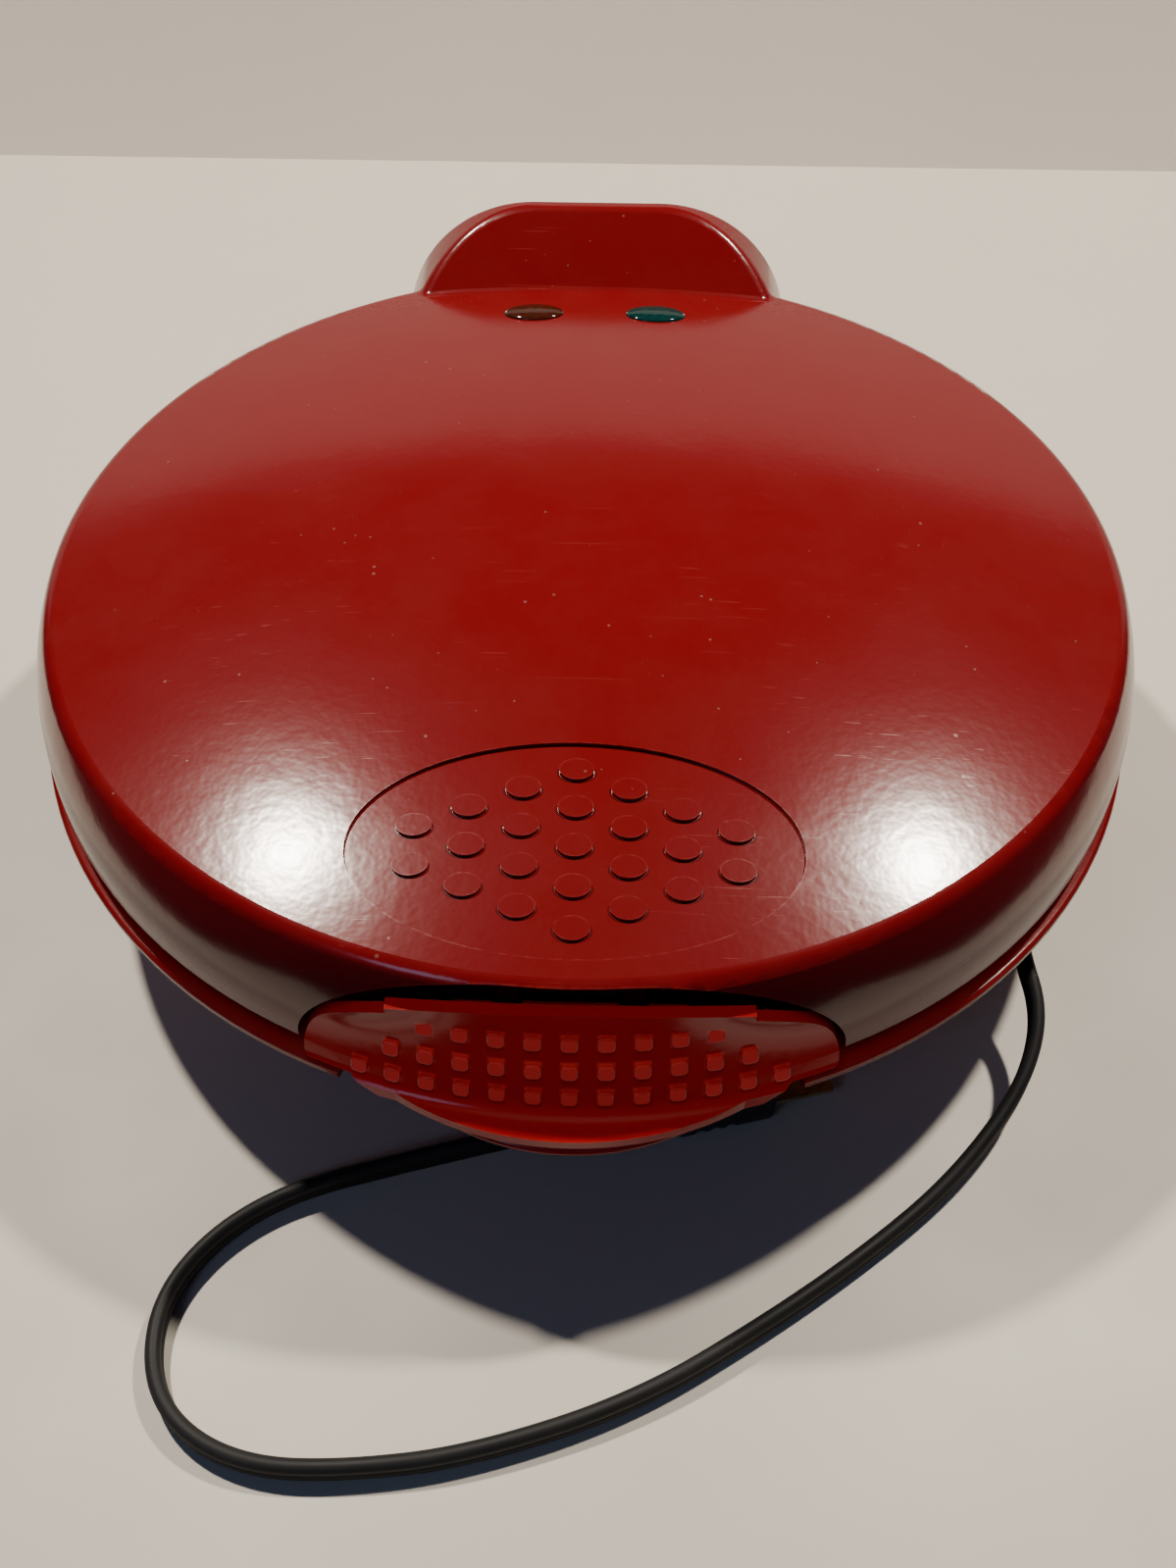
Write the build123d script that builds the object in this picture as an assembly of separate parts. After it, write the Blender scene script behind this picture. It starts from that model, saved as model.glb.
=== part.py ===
"""Quesadilla maker: two round cooking plates in a hinged red casing, with a front latch and a cord.

Millimetres, +Z up.  The casing's round body turns about one upright centre line, and the front
faces -Y.  Everything is modelled about that line and moved back by FRAME_SHIFT at the end, so that
the origin lies on the table under the middle of the object's box.
"""

import os
from math import asin, atan2, cos, degrees, radians, sin, sqrt, tan

from build123d import *

# ---------------------------------------------------------------- driving dimensions: the plates
PLATE_R = 141.0  # outer radius of a cooking plate
PLATE_RIM = 10.0  # width of the rim round the pockets
PLATE_H = 10.8  # height of the casting at its rim
PLATE_GAP = 0.3  # air between the closed plates
POCKET_DEPTH = 8.0
POCKET_DRAFT = 18.0  # degrees that a pocket's wall leans
POCKET_CORNER = 9.0
RIB_W = 7.0  # width of the scoring rib between two wedges
WEDGES = 6

ELEMENT_R = 92.0  # radius of the heater's ring
TUBE_R = 3.3  # radius of the heater's tube
TUBE_SEAT = 2.7  # how deep the tube lies in its land
LAND_W = 10.0
LAND_DROP = 3.8  # how far the land stands below the plate
LEG_ANGLE = 10.0  # degrees from the rear to each leg of the heater
LEG_DROP = 30.0  # from the plate's face to the end of a leg

SHIELD_T = 0.8
SHIELD_DEPTH = 15.7
SHIELD_DISC_R = 112.0

# ---------------------------------------------------------------- driving dimensions: the casing
WALL = 2.6
FOOT_H = 6.0
BASE_H = 48.5  # from the underside of the base to the top of its flange
SEAM = 6.5  # open seam between the base's flange and the lid's rim
LEDGE_T = 4.4  # thickness of the inner ledge that carries the lower plate
RING_CLEAR = 2.5  # from the plate's edge to the wall round it
RING_WALL = 2.5
FLANGE_REACH = 9.0
FLANGE_T = 3.5
LID_IN = 2.0  # the lid's rim lies this far inside the flange's edge
SKIRT_H = 4.5  # upright stretch of the lid's side
LID_SIDE_H = 31.1  # from the lid's rim to its shoulder
SIDE_BEND = 54.3  # radius of the lid's bulging side
SHOULDER_ROUND = 5.0
DOME_RISE = 12.9
BOWL_FOOT_R = 109.0
BOWL_BULGE = (125.0, 30.0)  # a point on the bowl's outer side: radius, height

HUMP_HALF = 66.0  # half width of the block at the rear
HUMP_RISE = 8.4  # from the top of the dome to the top of the hump
HUMP_CORNER = (45.0, 45.0)  # half axes of the arch's corners
HUMP_SLOPE = 42.0  # degrees that the hump's face rises from level
HUMP_FOOT = (128.0, 94.0)  # a point on the sloping face: distance behind the centre, height
HUMP_EDGE = 4.0
HUMP_SEAM = 3.0
REAR_BEHIND_FLANGE = 0.5  # the flat back stands this far behind the flange's edge
BLOCK_TOP = 45.5  # top of the base's rear block
BLOCK_CORNER = 8.0
BLOCK_FRONT = 90.0

# ---------------------------------------------------------------- driving dimensions: the hinge
KNUCKLE_R = 8.0
KNUCKLE_CLEAR = 0.6
LUG_IN, LUG_OUT = 31.0, 45.5  # the base's lugs, each side of the middle
EAR_IN = 46.0  # the lid's ears reach from here to the side of the hump
EAR_DEPTH = 13.0
EAR_CLEAR = 0.5  # the ears end this far inside the hump's sides
PIN_IN, PIN_OUT = 33.0, 52.0
HINGE_PIN_R = 4.0
HINGE_PIN_BORE = 2.9
FIT = 0.05  # radial clearance of a pin or screw in its hole
HINGE_BELOW_SEAM = 1.0  # the hinge's axis lies this far under the plates' meeting plane

# ---------------------------------------------------------------- driving dimensions: the handle
HANDLE_SLOPE = 0.35  # the face goes out by this much for each millimetre down
HANDLE_TOP_Z = 82.6
HANDLE_TOP_IN = 6.2  # the face's top lies this far inside the lid's rim
HANDLE_T = 3.0
HANDLE_HALF = 61.5
HANDLE_END = (30.5, 21.8)  # half axes of each rounded end
HANDLE_END_Z = 59.5
HANDLE_FOOT_Z = 58.0
LIP_Z = 53.2  # underside of the handle's lip
LIP_T = 2.9
LIP_HALF = (44.0, 50.5)  # half width of the lip at its underside and at the wall's foot
LIP_R = 76.0  # radius of the crescent, seen from above
LIP_REACH = 10.0  # how far the crescent stands in front of the lid's rim
LATCH_RANGE = 40.0  # degrees that the handle swings out
BAR_HALF = 40.5  # half length of the raised bar along the handle's top
STRAIGHT_FROM = 66.0  # above this height the wall grows straighter
STRAIGHT_SAG = 2.4  # how far the ends of the top edge lie behind its middle
BAND_HEIGHTS = (62.0, 68.0, 74.0, 79.0, 84.0)
BEAD_R = 2.4
BEAD_HALF = 26.0
PIN_IN_FRONT = 11.5  # the latch pin lies this far inside the lid's rim
LATCH_PIN_Z = 76.0
LATCH_PIN_R = 1.2
LATCH_LUG_R = 2.4
LATCH_LUG_IN = 12.0  # from the middle to each lug
LATCH_LUG_W = 4.3
LATCH_SIDE_CLEAR = 1.2
NUB = 4.0
NUB_H = 1.3
NUB_PITCH = 8.1
NUB_ROWS = ((75.8, 9), (68.3, 11), (61.4, 13))  # height and count of each row
HOOK_IN, HOOK_OUT = 24.0, 32.0
HOOK_CLEAR = 0.5  # from the hook's nose to the catch ridge
CATCH_H = 1.2

NICHE_HALF = 63.0
NICHE_CORNER = (50.0, 30.6)
NICHE_TOP = 91.6
NICHE_STEP_Z = 72.8
NICHE_DEEP = 16.4  # the niche's upper back wall lies this far inside the lid's rim
NICHE_SHALLOW = 8.9

BASE_LIP_R = 60.0
BASE_LIP_REACH = 10.0  # in front of the lid's rim
BASE_LIP_TOP = 49.2
BASE_LIP_H = 11.0
BASE_LIP_TAPER = 9.0
FRONT_GAP = 20.5  # degrees each side of the front where the flange is left out
REAR_GAP = 26.5  # the same at the rear

# ---------------------------------------------------------------- driving dimensions: the oval
OVAL = (52.2, 28.2)  # half axes of the sunk oval
OVAL_IN = 42.0  # its centre lies this far inside the lid's rim
OVAL_DEPTH = 1.1
DOT = (4.15, 3.0)  # half axes of a dot
DOT_COLUMN, DOT_ROW = 12.25, 10.35
DOT_COUNTS = (5, 4, 3, 2)  # dots in the middle column and in each column beside it

# ---------------------------------------------------------------- driving dimensions: small pieces
LENS = (9.6, 5.7)  # half axes of a lens
LENS_X, LENS_Y = 19.7, 110.6
LENS_FLANGE = 1.8
LENS_T = 4.2
LAMP_R, LAMP_H = 3.0, 4.6
BRACKET_Z, BRACKET_T = 89.4, 1.6
BRACKET_SIZE = (80.0, 14.0)
BRACKET_PEG_X = 35.6

SCREW_R, SCREW_HEAD_R, SCREW_HEAD_H = 2.0, 3.6, 2.4
PLATE_SCREW_IN = 4.2  # the plate screws lie this far inside the plate's edge
POST_R = 4.7
SCREW_ANGLES = (45.0, 135.0, 225.0, 315.0)
LOWER_SCREW_L, UPPER_SCREW_L = 14.0, 19.0
LOWER_HEAD_Z = 41.0  # seat of the lower screws' heads
SINK_DEPTH = 3.0

COVER_R, COVER_T = 105.2, 2.2
COVER_LIP_IN = 97.0
COVER_LIP_T = 2.4
COVER_SCREW_R = 101.5
COVER_SCREW = (1.5, 2.6, 1.8, 8.0)  # radius, head radius, head height, length
VENT = (22.0, 3.0)
VENT_AT, VENT_COUNT = 68.0, 12
FOOT_AT, FOOT_R, FOOT_STUD_R = 86.0, 9.0, 3.0

THERMOSTAT_R, THERMOSTAT_H = 8.0, 8.0
THERMOSTAT_SEAT = (10.0, 2.0)
SPADE = (6.3, 0.8, 4.0)
FUSE_R, FUSE_L, FUSE_AT = 2.2, 14.0, 45.0

BLOCK_SIZE = (24.0, 14.0, 12.0)  # terminal block
TERMINAL_AT = (34.0, 119.0)
WIRE_R, SLEEVE_R = 1.2, 1.9
CHANNEL_RUN = 4.5  # from the pin's end to the upright channel in the ear
TAIL_R = 1.7

# ---------------------------------------------------------------- driving dimensions: the cord
CORD_W, CORD_T = 7.0, 3.8  # the flat cord stands on edge
GLAND_Y, GLAND_Z = 136.0, 24.0
GLAND_L = 20.0
GLAND_R = (6.4, 4.6)  # radius at the casing and at the tip
GLAND_NECK_R = 4.6
CORD_ROUTE = [
    (86.0, 136.0, 24.0),
    (104.0, 136.0, 24.0),
    (120.0, 119.0, 24.5),
    (132.0, 97.0, 25.0),
    (138.5, 70.0, 25.5),
    (140.5, 41.0, 26.0),
    (139.0, 12.0, 26.0),
    (134.5, -16.0, 26.0),
    (128.5, -42.0, 25.5),
    (122.5, -66.0, 25.0),
    (120.5, -86.0, 24.0),
    (123.5, -101.5, 20.5),
    (120.0, -115.5, 15.5),
    (111.0, -129.5, 10.0),
    (94.5, -147.0, 5.0),
    (74.0, -163.5, 3.7),
    (50.0, -180.5, 3.6),
    (17.0, -200.8, 3.6),
    (-21.0, -213.7, 3.6),
    (-49.0, -217.5, 3.6),
    (-71.0, -217.3, 3.6),
    (-88.0, -210.0, 3.6),
    (-97.5, -197.0, 3.6),
    (-98.5, -179.0, 3.6),
    (-88.5, -162.5, 3.6),
    (-71.0, -150.5, 3.8),
    (-46.0, -143.6, 5.5),
    (-14.5, -137.8, 11.5),
    (11.4, -130.9, 11.5),
]
PLUG_TURN = degrees(atan2(6.9, 25.9))  # degrees that the plug points away from +X, towards +Y
PLUG_SLEEVE_L, PLUG_L, PLUG_W, PLUG_T = 14.0, 28.0, 22.0, 12.0
BLADE = (17.0, 6.4, 1.5)  # length, width, thickness
BLADE_SPACING = 12.7

# ---------------------------------------------------------------- worked-out places
RING_IN_R = PLATE_R + RING_CLEAR
RING_R = RING_IN_R + RING_WALL
FLANGE_R = RING_R + FLANGE_REACH
FLANGE_Z = FOOT_H + BASE_H
LID_R = FLANGE_R - LID_IN
RIM_Z = FLANGE_Z + SEAM
MATE_Z = FLANGE_Z + (SEAM + 0.5) / 2  # the closed plates meet here
LOWER_FACE_Z = MATE_Z
UPPER_FACE_Z = MATE_Z + PLATE_GAP
LEDGE_Z = LOWER_FACE_Z - PLATE_H - SHIELD_T
SHOULDER_Z = RIM_Z + LID_SIDE_H
DOME_Z = SHOULDER_Z + DOME_RISE
HUMP_Z = DOME_Z + HUMP_RISE
BACK_Y = FLANGE_R + REAR_BEHIND_FLANGE
HINGE_Y = BACK_Y - KNUCKLE_R
HINGE_Z = MATE_Z - HINGE_BELOW_SEAM
PLATE_SCREW_AT = PLATE_R - PLATE_SCREW_IN
LATCH_PIN_Y = -(LID_R - PIN_IN_FRONT)
FRONT_REACH = LID_R + LIP_REACH
FRAME_SHIFT = (FRONT_REACH - BACK_Y) / 2
BIG = 400.0


# ---------------------------------------------------------------- helpers
def turned(face):
    """A solid turned about the centre line from a face drawn as (radius, height)."""
    return revolve(Plane.XZ * face, Axis.Z)


def polygon(points):
    """A plain face through the points."""
    return make_face(Polyline(*points, close=True))


def ring(inner, outer, low, high):
    """A plain ring about the centre line."""
    return turned(polygon([(inner, low), (outer, low), (outer, high), (inner, high)]))


def disc(radius, low, high):
    """A plain disc about the centre line."""
    return Pos(0, 0, (low + high) / 2) * Cylinder(radius, high - low)


def box(x, y, z):
    """A box between pairs of limits."""
    size = [high - low for low, high in (x, y, z)]
    middle = [(high + low) / 2 for low, high in (x, y, z)]
    return Pos(*middle) * Box(*size)


def rod_x(x, at, radius):
    """A round rod along X between two limits, at (y, z)."""
    return Pos((x[0] + x[1]) / 2, *at) * Rot(0, 90, 0) * Cylinder(radius, x[1] - x[0])


def both_sides(solid):
    """A solid and its mirror image across the middle."""
    return solid + mirror(solid, Plane.YZ)


def polar(radius, angle):
    """The place at this radius and angle about the centre line."""
    return radius * cos(radians(angle)), radius * sin(radians(angle))


def seen_from_front(face, y):
    """A prism along Y whose outline, seen from the front, is drawn as (x, height)."""
    low, high = y
    return Pos(0, high, 0) * extrude(Plane.XZ * face, high - low)


def arch(half, foot, top, corner):
    """An outline with upright sides and a flat top joined by elliptical corners."""
    width, height = corner
    spring = top - height
    outline = Pos(0, (foot + spring) / 2) * Rectangle(2 * half, spring - foot)
    outline += Pos(0, spring) * Rectangle(2 * (half - width), 2 * height)
    for side in (-1, 1):
        outline += Pos(side * (half - width), spring) * Ellipse(width, height)
    return outline - Pos(0, foot - BIG / 2) * Rectangle(BIG, BIG)


def tube(points, radius, bend):
    """A round wire along straight runs joined by arcs."""
    path = FilletPolyline(*points, radius=bend)
    section = Plane(path @ 0, z_dir=path % 0) * Circle(radius)
    return sweep(section, path=path)


def screw(radius, head_radius, head_height, length):
    """A pan-head screw standing on its tip side up: head below zero, shank above."""
    head = Pos(0, 0, -head_height / 2) * Cylinder(head_radius, head_height)
    shank = Pos(0, 0, length / 2) * Cylinder(radius, length)
    slot = Pos(0, 0, -head_height) * Box(2 * head_radius, 0.9, 1.4)
    return fillet(head.edges().group_by(Axis.Z)[0], 0.8) - slot + shank


def group(solids):
    """Several separate solids as one piece."""
    return Compound(solids)


# ---------------------------------------------------------------- cooking plates and heat
# These are drawn face up with the meeting plane at zero; the upper set is the same, turned over.
def lower_place(piece):
    """Puts a plate-side piece into the base."""
    return Pos(0, 0, LOWER_FACE_Z) * piece


def upper_place(piece):
    """Turns a plate-side piece over into the lid."""
    return Pos(0, 0, UPPER_FACE_Z) * Rot(0, 180, 0) * piece


def wedge_pocket():
    """One of the six wedge-shaped hollows, opening upwards."""
    apex = RIB_W / 2 / sin(radians(180 / WEDGES))
    half = radians(180 / WEDGES)
    sides = polygon(
        [
            (apex, 0),
            (apex + BIG * cos(half), BIG * sin(half)),
            (apex + BIG * cos(half), -BIG * sin(half)),
        ]
    )
    outline = sides & Circle(PLATE_R - PLATE_RIM)
    outline = fillet(outline.vertices(), POCKET_CORNER)
    return extrude(outline, -POCKET_DEPTH, taper=POCKET_DRAFT)


def heater_ring(radius):
    """The heater's ring, open at the rear, with this tube radius."""
    level = -(PLATE_H + LAND_DROP) + TUBE_SEAT - TUBE_R
    start = 90.0 + LEG_ANGLE
    section = Plane.XZ * (Pos(ELEMENT_R, level) * Circle(radius))
    return Rot(0, 0, start) * revolve(section, Axis.Z, 360.0 - 2 * LEG_ANGLE), level


def cooking_plate(screws_from_face):
    """Cast plate: rim, six pockets with scoring ribs between, land for the heater below."""
    plate = disc(PLATE_R, -PLATE_H, 0)
    plate = chamfer(plate.edges().group_by(Axis.Z)[-1], 1.2)
    pocket = wedge_pocket()
    for number in range(WEDGES):
        plate -= Rot(0, 0, (number + 0.5) * 360 / WEDGES) * pocket
    land = ring(ELEMENT_R - LAND_W / 2, ELEMENT_R + LAND_W / 2, -PLATE_H - LAND_DROP, -PLATE_H)
    seat_r, seat_h = THERMOSTAT_SEAT
    plate += land + disc(seat_r, -PLATE_H - seat_h, -PLATE_H)
    groove = Plane.XZ * (Pos(ELEMENT_R, heater_ring(TUBE_R)[1]) * Circle(TUBE_R + FIT))
    plate -= revolve(groove, Axis.Z)
    for angle in SCREW_ANGLES:
        x, y = polar(PLATE_SCREW_AT, angle)
        if screws_from_face:
            plate -= Pos(x, y, 0) * disc(SCREW_R + FIT, -PLATE_H - 1, 1)
            plate -= Pos(x, y, 0) * disc(SCREW_HEAD_R + 0.3, -SINK_DEPTH, 1)
        else:
            plate -= Pos(x, y, 0) * disc(SCREW_R + FIT, -PLATE_H - 1, -SINK_DEPTH)
    return plate


def heating_element():
    """Bent tube with a leg at each end that passes the shield, and a spade on each leg."""
    element, level = heater_ring(TUBE_R)
    for side in (-1, 1):
        x, y = polar(ELEMENT_R, 90 + side * LEG_ANGLE)
        element += Pos(x, y, level) * Sphere(TUBE_R)
        element += Pos(x, y, 0) * disc(TUBE_R, -LEG_DROP + SPADE[2], level)
        element += Pos(x, y, -LEG_DROP + SPADE[2] / 2) * Box(*SPADE)
    return element


def heat_shield():
    """Pressed dish that hangs under the plate's rim, with holes for the legs and screws."""
    top = -PLATE_H
    low = top - SHIELD_DEPTH
    rim = PLATE_R - PLATE_RIM
    outline = [
        (0, low),
        (SHIELD_DISC_R, low),
        (rim, top - SHIELD_T),
        (PLATE_R, top - SHIELD_T),
        (PLATE_R, top),
        (rim - SHIELD_T, top),
        (SHIELD_DISC_R - SHIELD_T, low + SHIELD_T),
        (0, low + SHIELD_T),
    ]
    shield = turned(polygon(outline))
    for side in (-1, 1):
        x, y = polar(ELEMENT_R, 90 + side * LEG_ANGLE)
        shield -= Pos(x, y, low) * Cylinder(TUBE_R + 1.5, 4)
    shield -= Pos(0, ELEMENT_R - 2 * LAND_W, low) * Cylinder(6.0, 4)
    for angle in SCREW_ANGLES:
        x, y = polar(PLATE_SCREW_AT, angle)
        shield -= Pos(x, y, top) * Cylinder(SCREW_R + 0.3, 4)
    return shield


def thermostat():
    """Snap disc thermostat with its flange on the plate's seat and two spades."""
    top = -PLATE_H - THERMOSTAT_SEAT[1]
    body = disc(THERMOSTAT_R, top - THERMOSTAT_H, top)
    body += disc(THERMOSTAT_R + 1.2, top - 1.5, top)
    for side in (-1, 1):
        body += Pos(side * 5.0, 0, top - THERMOSTAT_H - SPADE[2] / 2) * Rot(0, 0, 90) * Box(*SPADE)
    return body


def thermal_fuse():
    """Fuse in its sleeve, held against the plate by a folded clip."""
    level = -PLATE_H - FUSE_R - 0.05
    fuse = Pos(0, FUSE_AT, level) * Rot(0, 90, 0) * Cylinder(FUSE_R, FUSE_L)
    clip = box((-3, 3), (FUSE_AT + FUSE_R - 0.2, FUSE_AT + 9), (-PLATE_H - 1, -PLATE_H))
    return fuse + clip


# ---------------------------------------------------------------- lid
def lid_profile(shrink, low):
    """Half section of the lid: skirt, bulging side, soft shoulder and low dome."""
    edge = LID_R - shrink
    bend = SIDE_BEND - shrink
    skirt = RIM_Z + SKIRT_H
    turn = degrees(asin((LID_SIDE_H - SKIRT_H) / SIDE_BEND))
    side = CenterArc((edge - bend, skirt), bend, 0, turn)
    shoulder = side @ 1
    top = DOME_Z - shrink
    rise = top - shoulder.Y
    dome_r = (shoulder.X**2 + rise**2) / (2 * rise)
    middle = (shoulder.X / 2, top - dome_r + sqrt(dome_r**2 - (shoulder.X / 2) ** 2))
    dome = ThreePointArc(shoulder, middle, (0, top))
    frame = Polyline((0, top), (0, low), (edge, low), (edge, skirt))
    face = make_face(side + dome + frame)
    corner = face.vertices().sort_by_distance(Vertex(shoulder.X, shoulder.Y, 0))[0]
    return fillet(corner, SHOULDER_ROUND)


def dome_height(x, y):
    """Height of the dome's outer face over a place."""
    turn = asin((LID_SIDE_H - SKIRT_H) / SIDE_BEND)
    shoulder = LID_R - SIDE_BEND * (1 - cos(turn))
    rise = DOME_Z - (RIM_Z + SKIRT_H + SIDE_BEND * sin(turn))
    dome_r = (shoulder**2 + rise**2) / (2 * rise)
    return DOME_Z - dome_r + sqrt(dome_r**2 - x**2 - y**2)


def hump(shrink):
    """Block at the rear: an arch seen from the front, a sloping face seen from the side."""
    foot = RIM_Z - (WALL if shrink else 0)
    width, height = HUMP_CORNER
    outline = arch(HUMP_HALF - shrink, foot, HUMP_Z - shrink, (width - shrink, height - shrink))
    block = seen_from_front(outline, (0, BACK_Y - shrink))
    slope = tan(radians(HUMP_SLOPE))
    face_y, face_z = HUMP_FOOT
    face_y += shrink / sin(radians(HUMP_SLOPE))
    side = polygon(
        [
            (face_y - (face_z - foot) / slope, foot),
            (BIG, foot),
            (BIG, BIG),
            (face_y + (BIG - face_z) / slope, BIG),
        ]
    )
    return block & Pos(-BIG / 2, 0, 0) * extrude(Plane.YZ * side, BIG)


def rounded_hump():
    """The hump's outer form with its arch edge and its back edge rounded."""
    block = hump(0)
    slope = radians(HUMP_SLOPE)
    ahead = Vector(0, -sin(slope), cos(slope))
    face = block.faces().sort_by(lambda one: one.normal_at().dot(ahead))[-1]
    arch_edges = [edge for edge in face.edges() if edge.center().Z > HUMP_FOOT[1]]
    block = fillet(arch_edges, HUMP_EDGE)
    back = block.faces().sort_by(Axis.Y)[-1]
    return fillet([edge for edge in back.edges() if edge.center().Z > RIM_Z + 1], HUMP_SEAM)


def niche_block(grow):
    """The space of the handle's niche, or with its walls when grown."""
    width, height = NICHE_CORNER
    outline = arch(
        NICHE_HALF + grow, RIM_Z - 20, NICHE_TOP + grow, (width + grow, height + grow)
    )
    space = seen_from_front(outline, (-BIG / 2, -LID_R / 2))
    deep = LID_R - NICHE_DEEP - grow
    shallow = LID_R - NICHE_SHALLOW - grow
    step = NICHE_STEP_Z - grow
    core = [(0, 0), (shallow, 0), (shallow, step), (deep, step), (deep, BIG), (0, BIG)]
    return space - turned(polygon(core))


def oval_cut():
    """The sunk oval, with the dots left standing in it."""
    middle = -(LID_R - OVAL_IN)
    outline = Pos(0, middle) * Ellipse(*OVAL)
    for column in range(1 - len(DOT_COUNTS), len(DOT_COUNTS)):
        count = DOT_COUNTS[abs(column)]
        for row in range(count):
            y = middle + (row - (count - 1) / 2) * DOT_ROW
            outline -= Pos(column * DOT_COLUMN, y) * Ellipse(*DOT)
    column_solid = Pos(0, 0, SHOULDER_Z - 8) * extrude(outline, BIG / 8)
    return column_solid - turned(lid_profile(OVAL_DEPTH, RIM_Z))


def lens_frame(side):
    """Local frame of a lens: on the dome's face, square to it."""
    x, y = side * LENS_X, LENS_Y
    top = dome_height(x, y)
    sphere_low = DOME_Z - top
    dome_r = (x**2 + y**2 + sphere_low**2) / (2 * sphere_low)
    return Plane((x, y, top), x_dir=(1, 0, -x / dome_r), z_dir=(x, y, dome_r - sphere_low))


def lid_shell():
    """The lid's one red moulding."""
    outer = turned(lid_profile(0, RIM_Z))
    block = rounded_hump()
    seam = outer + block
    welds = new_edges(outer, block, combined=seam).filter_by(
        lambda edge: edge.center().Z > RIM_Z + LID_SIDE_H / 2 and edge.center().Y < HINGE_Y
    )
    outer = fillet(welds, HUMP_SEAM)
    hollow = turned(lid_profile(WALL, RIM_Z - WALL)) + hump(WALL)
    shell = outer - hollow
    shell += niche_block(WALL) & outer
    for angle in SCREW_ANGLES:
        x, y = polar(PLATE_SCREW_AT, angle)
        foot = UPPER_FACE_Z + PLATE_H + SHIELD_T
        post = Pos(x, y, 0) * disc(POST_R, foot, SHOULDER_Z)
        shell += post & outer
        shell -= Pos(x, y, 0) * disc(SCREW_R + FIT, foot - 1, foot + UPPER_SCREW_L - 6)
    shell += lid_ears()
    shell -= lug_room()
    shell -= niche_block(0)
    shell += latch_lugs()
    shell -= rod_x((-BEAD_HALF, BEAD_HALF), (LATCH_PIN_Y, LATCH_PIN_Z), LATCH_PIN_R + FIT)
    shell -= oval_cut()
    for side in (-1, 1):
        opening = Pos(0, 0, -WALL - 2) * extrude(Ellipse(LENS[0] + FIT, LENS[1] + FIT), WALL + 6)
        shell -= lens_frame(side) * opening
        peg_at = (side * BRACKET_PEG_X, LENS_Y)
        post = Pos(*peg_at, 0) * disc(3.2, BRACKET_Z + BRACKET_T, SHOULDER_Z + 3)
        peg = Pos(*peg_at, 0) * disc(1.5, BRACKET_Z - 0.8, BRACKET_Z + BRACKET_T)
        shell += (post & outer) + peg
    return shell


def lid_ears():
    """The two ears that turn on the hinge pins, with the right one's channel for the leads."""
    front = HINGE_Y - KNUCKLE_R
    top = RIM_Z + EAR_DEPTH
    reach = (EAR_IN, HUMP_HALF - EAR_CLEAR)
    ear = box(reach, (front, BACK_Y), (HINGE_Z, top))
    ear += rod_x(reach, (HINGE_Y, HINGE_Z), KNUCKLE_R)
    ears = both_sides(ear)
    ears -= rod_x((-PIN_OUT, PIN_OUT), (HINGE_Y, HINGE_Z), HINGE_PIN_R + FIT)
    half = SLEEVE_R + 0.6
    channel = box(
        (PIN_OUT - 1, PIN_OUT + CHANNEL_RUN + half),
        (HINGE_Y - half, HINGE_Y + half),
        (HINGE_Z - half, top + 1),
    )
    return ears - channel


def lug_room():
    """Room round the base's two lugs, which the lid keeps free as it turns."""
    gap = rod_x((LUG_IN - 0.5, EAR_IN), (HINGE_Y, HINGE_Z), KNUCKLE_R + KNUCKLE_CLEAR)
    return both_sides(gap)


def latch_lugs():
    """Two lugs in the niche that hold the latch pin."""
    near = LATCH_LUG_IN
    far = near + LATCH_LUG_W
    wall_y = -sqrt((LID_R - NICHE_DEEP - 1) ** 2 - far**2)
    lug = rod_x((near, far), (LATCH_PIN_Y, LATCH_PIN_Z), LATCH_LUG_R)
    lug += box((near, far), (LATCH_PIN_Y, wall_y), (LATCH_PIN_Z - 0.5, LATCH_PIN_Z + LATCH_LUG_R))
    return both_sides(lug)


def lens(side):
    """Oval lens with a flange under the lid's wall."""
    body = Pos(0, 0, -LENS_T) * extrude(Ellipse(*LENS), LENS_T + 0.2)
    grown = [half + LENS_FLANGE for half in LENS]
    flange = Pos(0, 0, -WALL - 1.5) * extrude(Ellipse(*grown), 1.2)
    return lens_frame(side) * (body + flange)


def indicator_lamps():
    """Two small lamps that stand in the bracket under the lenses."""
    lamps = []
    for side in (-1, 1):
        low = BRACKET_Z - 1.9
        lamp = disc(LAMP_R, low, low + LAMP_H - LAMP_R)
        lamp += Pos(0, 0, low + LAMP_H - LAMP_R) * Sphere(LAMP_R)
        lamps.append(Pos(side * LENS_X, LENS_Y, 0) * lamp)
    return group(lamps)


def lamp_bracket():
    """Strip with a hole for each lamp and each peg."""
    length, depth = BRACKET_SIZE
    strip = Pos(0, LENS_Y, BRACKET_Z) * extrude(RectangleRounded(length, depth, 3), BRACKET_T)
    for side in (-1, 1):
        strip -= Pos(side * LENS_X, LENS_Y, BRACKET_Z) * Cylinder(LAMP_R + FIT, 6)
        strip -= Pos(side * BRACKET_PEG_X, LENS_Y, BRACKET_Z) * Cylinder(1.5 + FIT, 6)
    return strip


# ---------------------------------------------------------------- latch
def handle_radius(height):
    """Radius of the handle's sloping face at a height."""
    return LID_R - HANDLE_TOP_IN + (HANDLE_TOP_Z - height) * HANDLE_SLOPE


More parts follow.
